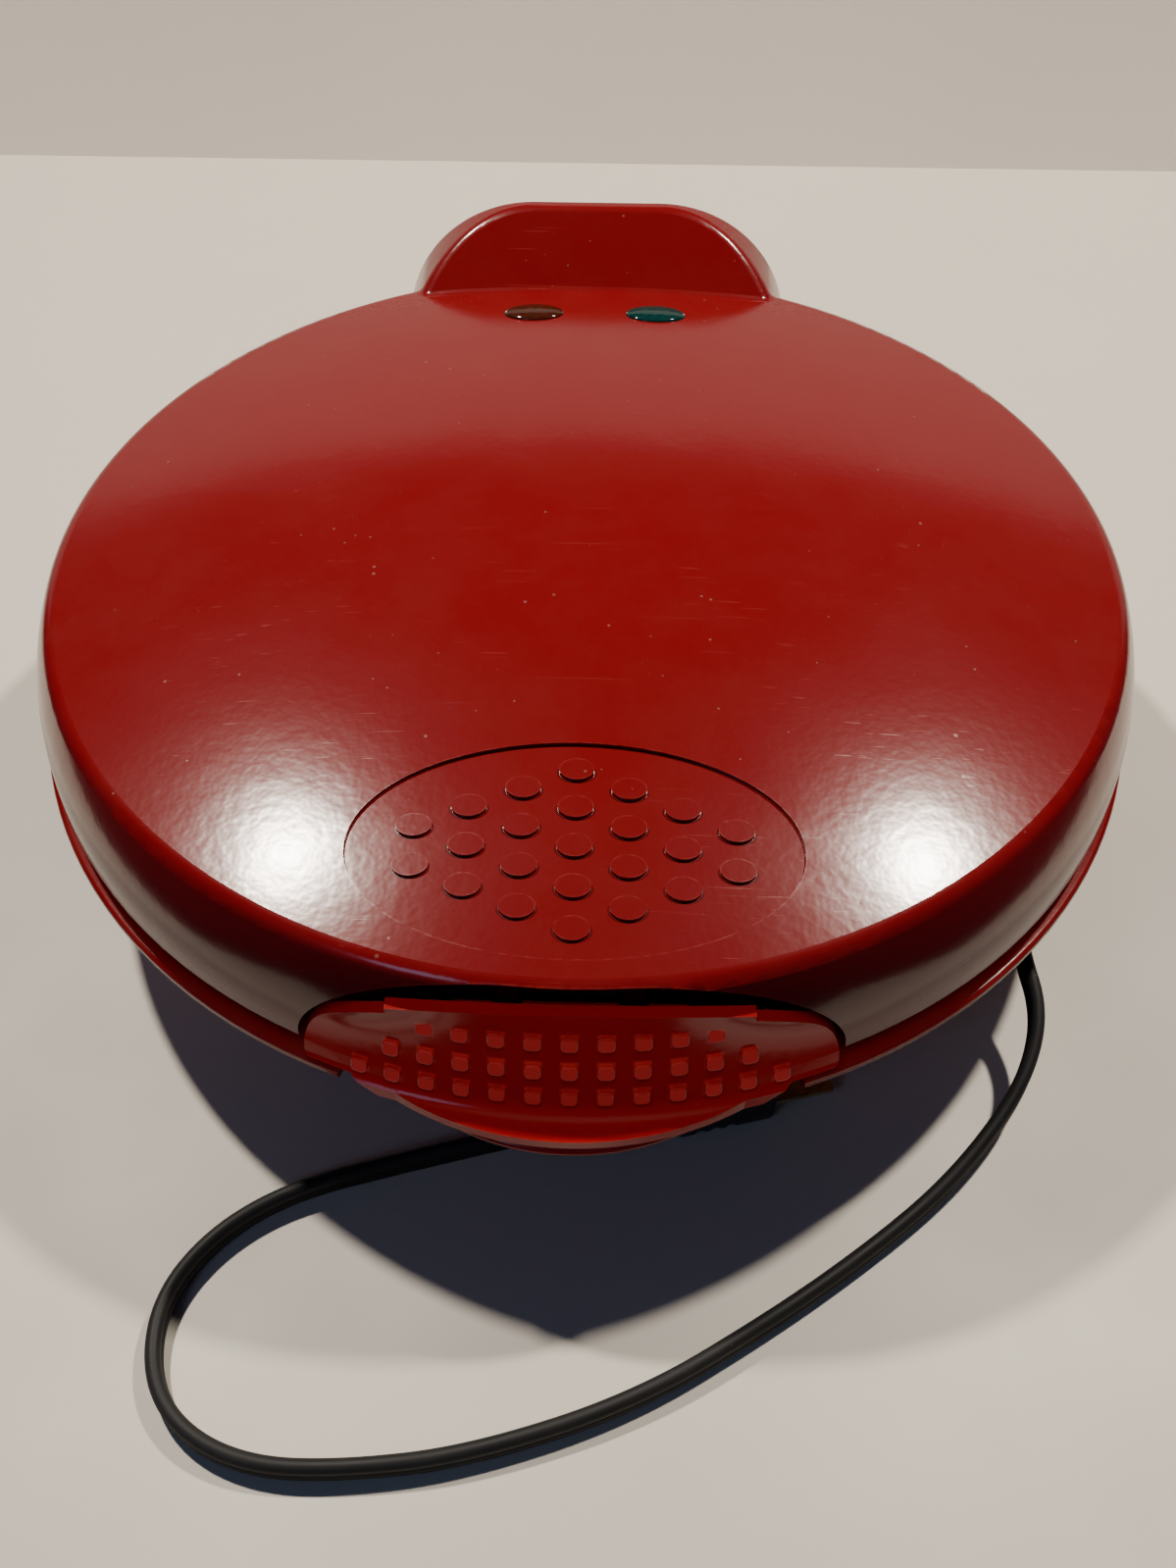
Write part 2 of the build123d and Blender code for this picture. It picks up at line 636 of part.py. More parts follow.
def handle_outline():
    """The handle seen from the front: rounded ends, a raised bar on top, a lip below."""
    width, height = HANDLE_END
    inner = HANDLE_HALF - width
    outline = Pos(0, HANDLE_END_Z) * Rectangle(2 * inner, 2 * height)
    for side in (-1, 1):
        outline += Pos(side * inner, HANDLE_END_Z) * Ellipse(width, height)
    outline -= Pos(0, HANDLE_END_Z - BIG / 2) * Rectangle(BIG, BIG)
    bar = HANDLE_TOP_Z - HANDLE_END_Z
    outline += Pos(0, HANDLE_END_Z + bar / 2) * Rectangle(2 * BAR_HALF, bar)
    low = HANDLE_END_Z - HANDLE_FOOT_Z
    band = Pos(0, HANDLE_END_Z - low / 2) * Rectangle(2 * HANDLE_HALF, low)
    outline += fillet(band.vertices().group_by(Axis.Y)[0], low - 0.2)
    narrow, wide = LIP_HALF
    lip = Polyline(
        (-wide, HANDLE_FOOT_Z), (-narrow, LIP_Z), (narrow, LIP_Z), (wide, HANDLE_FOOT_Z), close=True
    )
    return outline + make_face(lip)


def handle_band(height):
    """Level band through the handle's wall: round low down, nearly straight at the top."""
    radius = handle_radius(height)
    half = HANDLE_HALF + 1
    round_sag = radius - sqrt(radius**2 - half**2)
    share = max(0.0, (height - STRAIGHT_FROM) / (HANDLE_TOP_Z - STRAIGHT_FROM)) ** 2
    front = round_sag + (STRAIGHT_SAG - round_sag) * share - radius
    outer = ThreePointArc((-half, front), (0, -radius), (half, front))
    inner = ThreePointArc((half, front + HANDLE_T), (0, HANDLE_T - radius), (-half, front + HANDLE_T))
    sides = Line(outer @ 1, inner @ 0) + Line(inner @ 1, outer @ 0)
    return Pos(0, 0, height) * make_face(outer + inner + sides)


def pivot_beads():
    """Beads behind the wall, each on a web, with room between them for the lid's two lugs."""
    near = LATCH_LUG_IN - LATCH_SIDE_CLEAR
    far = LATCH_LUG_IN + LATCH_LUG_W + LATCH_SIDE_CLEAR
    half = BEAD_R - 0.8
    web_r = handle_radius(LATCH_PIN_Z + half) - 1
    web = disc(web_r, LATCH_PIN_Z - half, LATCH_PIN_Z + half)
    beads = None
    for span in ((-near, near), (far, BEAD_HALF), (-BEAD_HALF, -far)):
        bead = rod_x(span, (LATCH_PIN_Y, LATCH_PIN_Z), BEAD_R)
        bead += web & box(span, (-BIG, LATCH_PIN_Y), (0, BIG))
        beads = bead if beads is None else beads + bead
    return beads


def latch_handle():
    """Scooped handle: a sloping wall with nubs that curls out into a crescent lip."""
    lip_top = LIP_Z + LIP_T
    foot_r, top_r = handle_radius(lip_top), handle_radius(HANDLE_TOP_Z + 1)
    section = polygon(
        [
            (top_r, HANDLE_TOP_Z + 1),
            (foot_r, lip_top),
            (FRONT_REACH + 9, lip_top + 1.0),
            (FRONT_REACH + 9, lip_top + 1.0 - LIP_T),
            (foot_r - HANDLE_T, LIP_Z),
            (top_r - HANDLE_T, HANDLE_TOP_Z + 1),
        ]
    )
    corners = section.vertices()
    hollow = corners.sort_by_distance(Vertex(foot_r, lip_top, 0))[0]
    section = fillet(hollow, 4.5)
    heel = section.vertices().sort_by_distance(Vertex(foot_r - HANDLE_T, LIP_Z, 0))[0]
    section = fillet(heel, 2.0)
    form = turned(section)
    plan = Circle(foot_r + 0.8) + Pos(0, LIP_R - FRONT_REACH) * Circle(LIP_R)
    form &= Pos(0, 0, LIP_Z - 5) * extrude(plan, BAND_HEIGHTS[0] - LIP_Z + 5)
    form += loft([handle_band(height) for height in BAND_HEIGHTS])
    handle = form & seen_from_front(handle_outline(), (-BIG / 2, -LID_R / 2))
    handle += pivot_beads()
    handle += latch_hooks()
    lean = degrees(asin(HANDLE_SLOPE / sqrt(1 + HANDLE_SLOPE**2)))
    for height, count in NUB_ROWS:
        radius = handle_radius(height)
        for number in range(count):
            turn = degrees((number - (count - 1) / 2) * NUB_PITCH / radius)
            seat = Rot(0, 0, turn) * Pos(0, -radius, height) * Rot(90 - lean, 0, 0)
            handle += seat * nub()
    bore = rod_x((-BEAD_HALF - 1, BEAD_HALF + 1), (LATCH_PIN_Y, LATCH_PIN_Z), LATCH_PIN_R + FIT)
    return handle - bore


def nub():
    """Small rounded square that stands on the handle's face."""
    root = 0.8
    form = Pos(0, 0, -root) * extrude(RectangleRounded(NUB, NUB, 1.3), NUB_H + root)
    return fillet(form.edges().group_by(Axis.Z)[-1], 0.5)


def latch_hooks():
    """Two hooks at the back of the handle that reach down in front of the catch ridge."""
    catch_r = RING_R + CATCH_H
    inner = catch_r + HOOK_CLEAR + 0.6
    section = [
        (inner, BASE_LIP_TOP + 0.7),
        (inner + 2.0, BASE_LIP_TOP + 0.7),
        (inner + 2.0, HANDLE_FOOT_Z),
        (handle_radius(HANDLE_FOOT_Z) - 1, HANDLE_FOOT_Z),
        (handle_radius(HANDLE_FOOT_Z) - 1, HANDLE_FOOT_Z + 3),
        (inner, HANDLE_FOOT_Z + 3),
        (inner, FLANGE_Z - CATCH_H),
        (inner - 0.6, FLANGE_Z - CATCH_H - 1.0),
        (inner, FLANGE_Z - CATCH_H - 2.0),
    ]
    reach = box((HOOK_IN, HOOK_OUT), (-BIG, 0), (0, BIG))
    return both_sides(turned(polygon(section)) & reach)


def latch_pin():
    """Steel pin through the lugs and the handle's bead."""
    return rod_x((-BEAD_HALF, BEAD_HALF), (LATCH_PIN_Y, LATCH_PIN_Z), LATCH_PIN_R)


# ---------------------------------------------------------------- base
def bowl(shrink, low):
    """The base's bowl as a solid, with its upright ring on top."""
    foot_r = BOWL_FOOT_R - shrink
    top_z = LEDGE_Z - 2.9
    bulge_r, bulge_z = BOWL_BULGE
    slant = shrink * 0.75
    side = ThreePointArc(
        (foot_r, FOOT_H + 3), (bulge_r - slant, bulge_z + slant / 3), (RING_R - shrink, top_z)
    )
    frame = Polyline(
        (RING_R - shrink, top_z),
        (RING_R - shrink, FLANGE_Z),
        (0, FLANGE_Z),
        (0, low),
        (foot_r, low),
        (foot_r, FOOT_H + 3),
    )
    return turned(make_face(side + frame))


def rear_block():
    """The base's block at the rear, with rounded corners."""
    block = box((-HUMP_HALF, HUMP_HALF), (BLOCK_FRONT, BACK_Y), (FOOT_H, BLOCK_TOP))
    block = fillet(block.edges().filter_by(Axis.Z).group_by(Axis.Y)[-1], BLOCK_CORNER)
    return fillet(block.edges().group_by(Axis.Y)[-1].sort_by(Axis.Z)[-1], HUMP_SEAM)


def base_lip():
    """Lower lip of the handle: a tapered crescent under the latch."""
    middle = BASE_LIP_R - LID_R - BASE_LIP_REACH
    low = BASE_LIP_TOP - BASE_LIP_H
    cone = Cone(BASE_LIP_R - BASE_LIP_TAPER, BASE_LIP_R, BASE_LIP_H)
    lip = Pos(0, middle, (low + BASE_LIP_TOP) / 2) * cone
    return fillet(lip.edges().group_by(Axis.Z)[-1], 1.2) & box(
        (-BIG, BIG), (-BIG, -RING_IN_R * 0.8), (0, BIG)
    )


def flange():
    """The right half of the flange, from the handle's gap to the rear block's."""
    width = FLANGE_R - RING_IN_R - 1
    middle = (FLANGE_R - width / 2, FLANGE_Z - FLANGE_T / 2)
    profile = Pos(*middle) * Rectangle(width, FLANGE_T)
    profile = fillet(profile.vertices().group_by(Axis.X)[-1], 1.3)
    arc = 180.0 - FRONT_GAP - REAR_GAP
    return Rot(0, 0, FRONT_GAP - 90) * revolve(Plane.XZ * profile, Axis.Z, arc)


def base_shell():
    """The base's one red moulding: bowl, flange, rear block, hinge lugs and lower lip."""
    outer = bowl(0, FOOT_H) + rear_block() + base_lip()
    hollow = bowl(WALL, FOOT_H + COVER_T + COVER_LIP_T)
    hollow -= ring(PLATE_R - PLATE_RIM + 2, BIG / 2, LEDGE_Z - LEDGE_T, LEDGE_Z)
    hollow += disc(RING_IN_R, LEDGE_Z, BIG / 4)
    roof = BLOCK_TOP - WALL
    side = HUMP_HALF - WALL
    room = box((-side, side), (BOWL_FOOT_R + 2, BACK_Y - WALL), (FOOT_H + WALL, roof))
    room += box((-side, side), (BLOCK_FRONT, BOWL_FOOT_R + 3), (FOOT_H + COVER_T + COVER_LIP_T, roof))
    hollow += room
    shell = outer - hollow + both_sides(flange())
    shell -= disc(COVER_LIP_IN, 0, BASE_H / 2)
    shell -= disc(COVER_R + 0.3, 0, FOOT_H + COVER_T)
    for angle in SCREW_ANGLES:
        x, y = polar(PLATE_SCREW_AT, angle)
        shell += Pos(x, y, 0) * disc(POST_R, LOWER_HEAD_Z - 3, LEDGE_Z)
        shell -= Pos(x, y, 0) * disc(SCREW_HEAD_R + 0.4, 0, LOWER_HEAD_Z)
        shell -= Pos(x, y, 0) * disc(SCREW_R + FIT, 0, BIG / 4)
    for number in range(4):
        x, y = polar(COVER_SCREW_R, number * 90)
        seat = FOOT_H + COVER_T
        shell += Pos(x, y, 0) * disc(3.6, seat, seat + COVER_SCREW[3] + 1)
        shell -= Pos(x, y, 0) * disc(COVER_SCREW[0] + FIT, 0, seat + COVER_SCREW[3])
    catch = ring(RING_R - 0.5, RING_R + CATCH_H, FLANGE_Z - CATCH_H, FLANGE_Z)
    shell += catch & box((-HOOK_OUT - 2, HOOK_OUT + 2), (-BIG, 0), (0, BIG))
    shell += hinge_lugs()
    shell -= Pos(HUMP_HALF - WALL / 2, GLAND_Y, GLAND_Z) * Rot(0, 90, 0) * Cylinder(
        GLAND_NECK_R + FIT, 2 * WALL
    )
    return shell - sleeve_hole()


def hinge_lugs():
    """Two lugs that stand on the rear block and hold the hinge pins."""
    lug = rod_x((LUG_IN, LUG_OUT), (HINGE_Y, HINGE_Z), KNUCKLE_R)
    stem = box((LUG_IN, LUG_OUT), (HINGE_Y - KNUCKLE_R, HINGE_Y), (BLOCK_TOP - WALL, HINGE_Z))
    lugs = both_sides(lug + stem)
    return lugs - rod_x((-BIG, BIG), (HINGE_Y, HINGE_Z), HINGE_PIN_R + FIT)


def sleeve_hole():
    """Hole in the rear block's top where the sleeve of leads comes out."""
    return Pos(LUG_IN - 5, HINGE_Y, BLOCK_TOP) * Cylinder(SLEEVE_R + 0.3, 4 * WALL)


def hinge_pins():
    """Two hollow pins, fixed in the lugs."""
    pin = rod_x((PIN_IN, PIN_OUT), (HINGE_Y, HINGE_Z), HINGE_PIN_R)
    pin -= rod_x((PIN_IN - 1, PIN_OUT + 1), (HINGE_Y, HINGE_Z), HINGE_PIN_BORE)
    return group([pin, mirror(pin, Plane.YZ)])


def bottom_cover():
    """Disc that closes the bowl, with vent slots and holes for feet and screws."""
    cover = disc(COVER_R, FOOT_H, FOOT_H + COVER_T)
    for number in range(VENT_COUNT):
        slot = Pos(VENT_AT, 0, FOOT_H - 1) * extrude(SlotOverall(*VENT), COVER_T + 2)
        cover -= Rot(0, 0, (number + 0.5) * 360 / VENT_COUNT) * slot
    for number in range(4):
        x, y = polar(COVER_SCREW_R, number * 90)
        cover -= Pos(x, y, FOOT_H) * Cylinder(COVER_SCREW[0] + 0.2, 4 * COVER_T)
        x, y = polar(FOOT_AT, 45 + number * 90)
        cover -= Pos(x, y, FOOT_H) * Cylinder(FOOT_STUD_R + FIT, 4 * COVER_T)
    return cover


def rubber_feet():
    """Four pads with a stud each."""
    feet = []
    for number in range(4):
        x, y = polar(FOOT_AT, 45 + number * 90)
        pad = Cone(FOOT_R - 1, FOOT_R, FOOT_H)
        foot = Pos(0, 0, FOOT_H / 2) * pad + disc(FOOT_STUD_R, FOOT_H, FOOT_H + COVER_T + 1)
        feet.append(Pos(x, y, 0) * foot)
    return group(feet)


def cover_screws():
    """Four screws that hold the bottom cover."""
    radius, head_radius, head_height, length = COVER_SCREW
    one = screw(radius, head_radius, head_height, length)
    places = [polar(COVER_SCREW_R, number * 90) for number in range(4)]
    return group([Pos(x, y, FOOT_H) * one for x, y in places])


def plate_screws(upper):
    """Four screws that hold a plate and its shield to the casing."""
    length = UPPER_SCREW_L if upper else LOWER_SCREW_L
    one = screw(SCREW_R, SCREW_HEAD_R, SCREW_HEAD_H, length)
    level = UPPER_FACE_Z + SINK_DEPTH if upper else LOWER_HEAD_Z
    places = [polar(PLATE_SCREW_AT, angle) for angle in SCREW_ANGLES]
    return group([Pos(x, y, level) * one for x, y in places])


def terminal_block():
    """Block with two clamps where the cord meets the leads."""
    length, depth, height = BLOCK_SIZE
    block = Pos(*TERMINAL_AT, FOOT_H + WALL + height / 2) * Box(length, depth, height)
    for side in (-1, 1):
        block -= Pos(TERMINAL_AT[0] + side * length / 4, TERMINAL_AT[1], 0) * disc(
            2.4, FOOT_H + WALL + height - 3, BIG / 4
        )
    return block


def terminal_screws():
    """The clamps' two screws."""
    length, _, height = BLOCK_SIZE
    top = FOOT_H + WALL + height
    screws = []
    for side in (-1, 1):
        x = TERMINAL_AT[0] + side * length / 4
        screws.append(Pos(x, TERMINAL_AT[1], 0) * disc(2.2, top - 3, top - 1))
    return group(screws)


# ---------------------------------------------------------------- leads
def lower_leads():
    """Wires from the terminal block to the heater's legs, and the sleeve up to the hinge."""
    length, _, height = BLOCK_SIZE
    top = FOOT_H + WALL + height
    leg_z = LOWER_FACE_Z - LEG_DROP
    wires = []
    for side in (-1, 1):
        x, y = polar(ELEMENT_R, 90 + side * LEG_ANGLE)
        start = TERMINAL_AT[0] - side * length / 4
        row = TERMINAL_AT[1] - 4.6
        run = top + 3 - side
        points = [(start, row, top), (start, row, run), (x, y, run), (x, y, leg_z)]
        wires.append(tube(points, WIRE_R, 1.5))
    sleeve_x = LUG_IN - 5
    points = [
        (sleeve_x, TERMINAL_AT[1] + 4.0, top),
        (sleeve_x, TERMINAL_AT[1] + 4.0, top + 9),
        (sleeve_x, HINGE_Y, top + 14),
        (sleeve_x, HINGE_Y, HINGE_Z),
        (PIN_IN, HINGE_Y, HINGE_Z),
        ]
    wires.append(tube(points, SLEEVE_R, [4.0, 4.0, 3.0]))
    return group(wires)


def hinge_lead():
    """The sleeve's straight stretch through the hollow right pin."""
    return rod_x((PIN_IN, PIN_OUT), (HINGE_Y, HINGE_Z), SLEEVE_R)


def upper_leads():
    """The sleeve on the lid's side, and wires to the heater's legs and the thermostat."""
    level = UPPER_FACE_Z + LEG_DROP - 2.2
    riser = PIN_OUT + CHANNEL_RUN
    hub = (42.0, 128.0, level)
    sleeve = tube(
        [
            (PIN_OUT, HINGE_Y, HINGE_Z),
            (riser, HINGE_Y, HINGE_Z),
            (riser, HINGE_Y, level - 6),
            hub,
        ],
        SLEEVE_R,
        [2.6, 5.0],
    )
    for side in (-1, 1):
        x, y = polar(ELEMENT_R, 90 + side * LEG_ANGLE)
        points = [hub, (x, y + 10, level), (x, y + SPADE[1] / 2, level)]
        sleeve += tube(points, WIRE_R, 4.0)
    return sleeve


def cord_tails():
    """The cord's two cores inside the casing, from the strain relief to the terminal block."""
    length, _, height = BLOCK_SIZE
    inner = HUMP_HALF - WALL - 4.0
    face = TERMINAL_AT[0] + length / 2
    tails = []
    for side in (-1, 1):
        y = TERMINAL_AT[1] + 3 + side * 2.6
        z = FOOT_H + WALL + height / 2
        points = [
            (inner, GLAND_Y + side * 1.8, GLAND_Z),
            (inner - 5, GLAND_Y + side * 1.8, GLAND_Z),
            (face + 3.5, y, z),
            (face, y, z),
        ]
        tails.append(tube(points, TAIL_R, 2.0))
    return group(tails)


# ---------------------------------------------------------------- cord and plug
def strain_relief():
    """Tapered bush at the rear block's side: neck in the wall, flange inside, boot outside."""
    wall = HUMP_HALF
    boot = Pos(wall + GLAND_L / 2, GLAND_Y, GLAND_Z) * Rot(0, 90, 0) * Cone(*GLAND_R, GLAND_L)
    neck = rod_x((wall - WALL, wall), (GLAND_Y, GLAND_Z), GLAND_NECK_R)
    collar = rod_x((wall - WALL - 4.0, wall - WALL), (GLAND_Y, GLAND_Z), GLAND_R[0])
    return boot + neck + collar


def cord_bends():
    """Radius of the arc at each inner point of the route, as large as its runs allow."""
    points = [Vector(*point) for point in CORD_ROUTE]
    runs = [after - before for before, after in zip(points, points[1:])]
    bends = []
    for first, second in zip(runs, runs[1:]):
        half_turn = radians(first.get_angle(second)) / 2
        bends.append(0.45 * min(first.length, second.length) / tan(half_turn))
    return bends


def power_cord():
    """The free cord: a flat section swept along the route, standing on edge."""
    path = FilletPolyline(*CORD_ROUTE, radius=cord_bends())
    section = Plane(path @ 0, x_dir=(0, 0, 1), z_dir=path % 0) * SlotOverall(CORD_W, CORD_T)
    cord = sweep(section, path=path)
    share = cord.volume / (section.area * path.length)
    print("cord bends", [round(bend) for bend in cord_bends()])
    print("cord length", round(path.length, 1), "volume share", round(share, 4))
    return cord


def plug_place(piece):
    """Puts a piece drawn along +X onto the end of the cord."""
    return Pos(*CORD_ROUTE[-1]) * Rot(0, 0, PLUG_TURN) * piece


def plug_body():
    """Moulded plug, standing on its narrow side."""
    sleeve = Pos(PLUG_SLEEVE_L / 2, 0, 0) * Rot(0, 90, 0) * Cone(4.2, 5.6, PLUG_SLEEVE_L)
    body = Pos(PLUG_SLEEVE_L + PLUG_L / 2, 0, 0) * Box(PLUG_L, PLUG_T, PLUG_W)
    return plug_place(sleeve + fillet(body.edges(), 3.0))


def plug_blades():
    """Two flat blades."""
    length, width, thickness = BLADE
    blades = []
    for side in (-1, 1):
        middle = PLUG_SLEEVE_L + PLUG_L + length / 2
        blade = Box(length, thickness, width)
        blades.append(plug_place(Pos(middle, 0, side * BLADE_SPACING / 2) * Rot(90, 0, 0) * blade))
    return group(blades)


# ---------------------------------------------------------------- the assembly
def pieces():
    """Every sub-part by name."""
    return {
        "base_shell": base_shell(),
        "bottom_cover": bottom_cover(),
        "rubber_feet": rubber_feet(),
        "bottom_cover_screws": cover_screws(),
        "lower_cooking_plate": lower_place(cooking_plate(False)),
        "lower_heating_element": lower_place(heating_element()),
        "lower_thermostat": lower_place(thermostat()),
        "lower_heat_shield": lower_place(heat_shield()),
        "lower_plate_screws": plate_screws(False),
        "lower_leads": lower_leads(),
        "terminal_block": terminal_block(),
        "terminal_screws": terminal_screws(),
        "cord_tails": cord_tails(),
        "strain_relief": strain_relief(),
        "power_cord": power_cord(),
        "plug_body": plug_body(),
        "plug_blades": plug_blades(),
        "hinge_pins": hinge_pins(),
        "hinge_lead": hinge_lead(),
        "lid_shell": lid_shell(),
        "upper_cooking_plate": upper_place(cooking_plate(True)),
        "upper_heating_element": upper_place(heating_element()),
        "upper_thermostat": upper_place(thermostat()),
        "thermal_fuse": upper_place(thermal_fuse()),
        "upper_heat_shield": upper_place(heat_shield()),
        "upper_plate_screws": plate_screws(True),
        "upper_leads": upper_leads(),
        "power_lens": lens(-1),
        "ready_lens": lens(1),
        "indicator_lamps": indicator_lamps(),
        "lamp_bracket": lamp_bracket(),
        "latch_handle": latch_handle(),
        "latch_pin": latch_pin(),
    }


os.makedirs("parts", exist_ok=True)
for name, piece in pieces().items():
    export_step(Pos(0, FRAME_SHIFT, 0) * piece, f"parts/{name}.step")
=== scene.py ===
"""Looks of a round hinged cooker: camera, stage, cord, plug and the finish of every piece."""

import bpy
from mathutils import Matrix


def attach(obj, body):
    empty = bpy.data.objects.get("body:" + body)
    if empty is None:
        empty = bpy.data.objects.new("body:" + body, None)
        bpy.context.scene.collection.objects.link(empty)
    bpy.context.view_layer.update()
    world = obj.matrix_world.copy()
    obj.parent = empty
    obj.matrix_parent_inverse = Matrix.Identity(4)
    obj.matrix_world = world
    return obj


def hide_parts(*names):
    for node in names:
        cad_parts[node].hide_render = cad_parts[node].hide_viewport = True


bl_info = {
    "name": "Round hinged cooker",
    "version": (1, 0, 0),
    "blender": (4, 5, 0),
    "location": "View3D > Sidebar > Cooker",
    "description": "Builds the cord, the plug and the finishes of a round hinged cooker",
    "category": "Add Mesh",
}

import math

import bpy
import numpy as np
from mathutils import Matrix, Vector

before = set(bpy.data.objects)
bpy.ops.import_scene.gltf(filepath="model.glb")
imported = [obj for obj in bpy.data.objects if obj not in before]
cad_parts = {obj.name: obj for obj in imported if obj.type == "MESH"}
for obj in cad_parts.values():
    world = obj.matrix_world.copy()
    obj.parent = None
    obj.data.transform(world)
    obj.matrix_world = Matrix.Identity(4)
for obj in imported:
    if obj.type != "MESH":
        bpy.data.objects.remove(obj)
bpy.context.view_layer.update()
MM = 0.001
SHIFT = 3.75  # the body's centre line stands this far behind the origin, in millimetres


# ---------------------------------------------------------------- settings
def colour_setting(name, description, default):
    """A colour that the user may change."""
    return bpy.props.FloatVectorProperty(
        name=name, description=description, size=3, subtype="COLOR", default=default, min=0, max=1
    )


def length_setting(name, description, default):
    """A length in metres that the user may change."""
    return bpy.props.FloatProperty(
        name=name, description=description, default=default, subtype="DISTANCE", precision=5
    )


class CameraSettings(bpy.types.PropertyGroup):
    """Where the camera stands and how it looks down."""

    place: bpy.props.FloatVectorProperty(
        name="Place", description="Camera position in metres", size=3, subtype="XYZ",
        default=(0.0072, -0.316324, 0.355047),
    )
    down: bpy.props.FloatProperty(
        name="Look down", description="Angle below level", default=math.radians(48.5576),
        subtype="ANGLE",
    )
    turn: bpy.props.FloatProperty(
        name="Turn", description="Angle to the right of straight ahead",
        default=math.radians(-1.1517), subtype="ANGLE",
    )
    roll: bpy.props.FloatProperty(
        name="Roll", description="Clockwise tilt of the camera",
        default=math.radians(0.2685), subtype="ANGLE",
    )
    lens: bpy.props.FloatProperty(
        name="Lens", description="Focal length for a 36 mm long side", default=33.87,
        subtype="DISTANCE_CAMERA",
    )


class StageSettings(bpy.types.PropertyGroup):
    """Table, backdrop and lights."""

    table: colour_setting("Table", "Colour of the table", (0.66, 0.62, 0.55))
    backdrop: colour_setting("Backdrop", "Colour of the backdrop", (0.70, 0.63, 0.56))
    front: length_setting("Table front", "Where the table ends in front", -0.240)
    rear: length_setting("Table rear", "Where the table meets the backdrop", 0.42)
    side: length_setting("Table side", "Half the table's width at the backdrop", 0.70)
    waist: length_setting("Table waist", "Half the table's width beside the cooker", 0.31)
    nose: length_setting("Table nose", "Half the table's width in front", 0.186)
    height: length_setting("Backdrop height", "Height of the backdrop", 0.33)
    lamp_size: length_setting("Lamp size", "Diameter of each round lamp", 0.055)
    lamp_power: bpy.props.FloatProperty(
        name="Lamp power", description="Power of each round lamp", default=11.0, subtype="POWER"
    )
    lamp_colour: colour_setting("Lamp colour", "Colour of the round lamps", (1.0, 0.90, 0.77))
    sky_colour: colour_setting("Room colour", "Colour of the room's dim light", (0.46, 0.60, 1.0))
    sky: bpy.props.FloatProperty(
        name="Room light", description="Strength of the room's dim light", default=0.03
    )
    glow: bpy.props.FloatProperty(
        name="Backdrop light", description="Light that the backdrop gives off", default=0.30
    )


class CordSettings(bpy.types.PropertyGroup):
    """Size of the flat cord."""

    width: length_setting("Width", "Width of the flat cord", 0.0070)
    thickness: length_setting("Thickness", "Thickness of the flat cord", 0.0038)
    length: length_setting("Length", "Length from the strain relief to the plug", 0.685)


class PlugSettings(bpy.types.PropertyGroup):
    """Size of the moulded plug."""

    sleeve: length_setting("Sleeve", "Length of the tapered sleeve", 0.0135)
    body: length_setting("Body", "Length of the plug's body", 0.0284)
    width: length_setting("Width", "Width of the body", 0.0220)
    thickness: length_setting("Thickness", "Thickness of the body", 0.0120)


class LensSettings(bpy.types.PropertyGroup):
    """Size of the two oval lenses on the lid."""

    place: bpy.props.FloatVectorProperty(
        name="Place", description="Middle of the right lens on the lid, in metres", size=3,
        subtype="XYZ", default=(0.0197, 0.11435, 0.09739),
    )
    facing: bpy.props.FloatVectorProperty(
        name="Facing", description="Way that the right lens faces", size=3, subtype="DIRECTION",
        default=(0.023647, 0.132759, 0.990866),
    )
    across: length_setting("Across", "Half the lens's length", 0.0096)
    deep: length_setting("Deep", "Half the lens's width", 0.0057)
    crown: length_setting("Crown", "How far the middle stands above the lid", 0.0017)
    foot: length_setting("Foot", "How far the lens reaches into the lid", 0.0041)


class FinishSettings(bpy.types.PropertyGroup):
    """Colours of the pieces."""

    red: colour_setting("Housing", "Red mouldings of lid and base", (0.155, 0.0036, 0.0058))
    handle: colour_setting("Handle", "Red moulding of the handle", (0.27, 0.0042, 0.0060))
    # Painted highlight: the nubs' lighter red stands for the light they catch above the niche's
    # shade, as well as for finger wear.
    lit_rubbed_nub: colour_setting("Nub", "Nubs of the handle, rubbed by fingers", (0.50, 0.026, 0.028))
    worn: colour_setting("Worn red", "Red mouldings, scratched or rubbed", (0.30, 0.03, 0.025))
    dust: colour_setting("Dust", "Dust that settles on the pieces", (0.42, 0.36, 0.31))
    black: colour_setting("Black", "Black mouldings, rubber and cord", (0.012, 0.012, 0.013))
    coat: colour_setting("Coat", "Coat of the cooking plates", (0.018, 0.018, 0.019))
    amber: colour_setting("Amber", "Lens of the power lamp", (0.030, 0.0050, 0.0018))
    green: colour_setting("Green", "Lens of the ready lamp", (0.0012, 0.020, 0.019))
    steel: colour_setting("Steel", "Screws", (0.56, 0.55, 0.53))
    brass: colour_setting("Brass", "Blades of the plug", (0.68, 0.53, 0.25))


# ---------------------------------------------------------------- helpers
def settings():
    """The settings held by the scene."""
    return bpy.context.scene.cooker


def put_in_scene(name, mesh):
    """A new object at the origin that holds a mesh."""
    piece = bpy.data.objects.new(name, mesh)
    bpy.context.scene.collection.objects.link(piece)
    return piece


def grid_mesh(name, points):
    """A closed tube over a grid of points [along, round], with a flat cap at each end."""
    rows, columns = points.shape[:2]
    index = np.arange(rows * columns).reshape(rows, columns)
    index = np.concatenate([index, index[:, :1]], axis=1)
    quads = np.stack([index[:-1, :-1], index[1:, :-1], index[1:, 1:], index[:-1, 1:]], axis=-1)
    faces = quads.reshape(-1, 4).tolist()
    faces.append(index[0, :columns].tolist())
    faces.append(index[-1, :columns][::-1].tolist())
    mesh = bpy.data.meshes.new(name)
    mesh.from_pydata(points.reshape(-1, 3).tolist(), [], faces)
    mesh.shade_smooth()
    return mesh


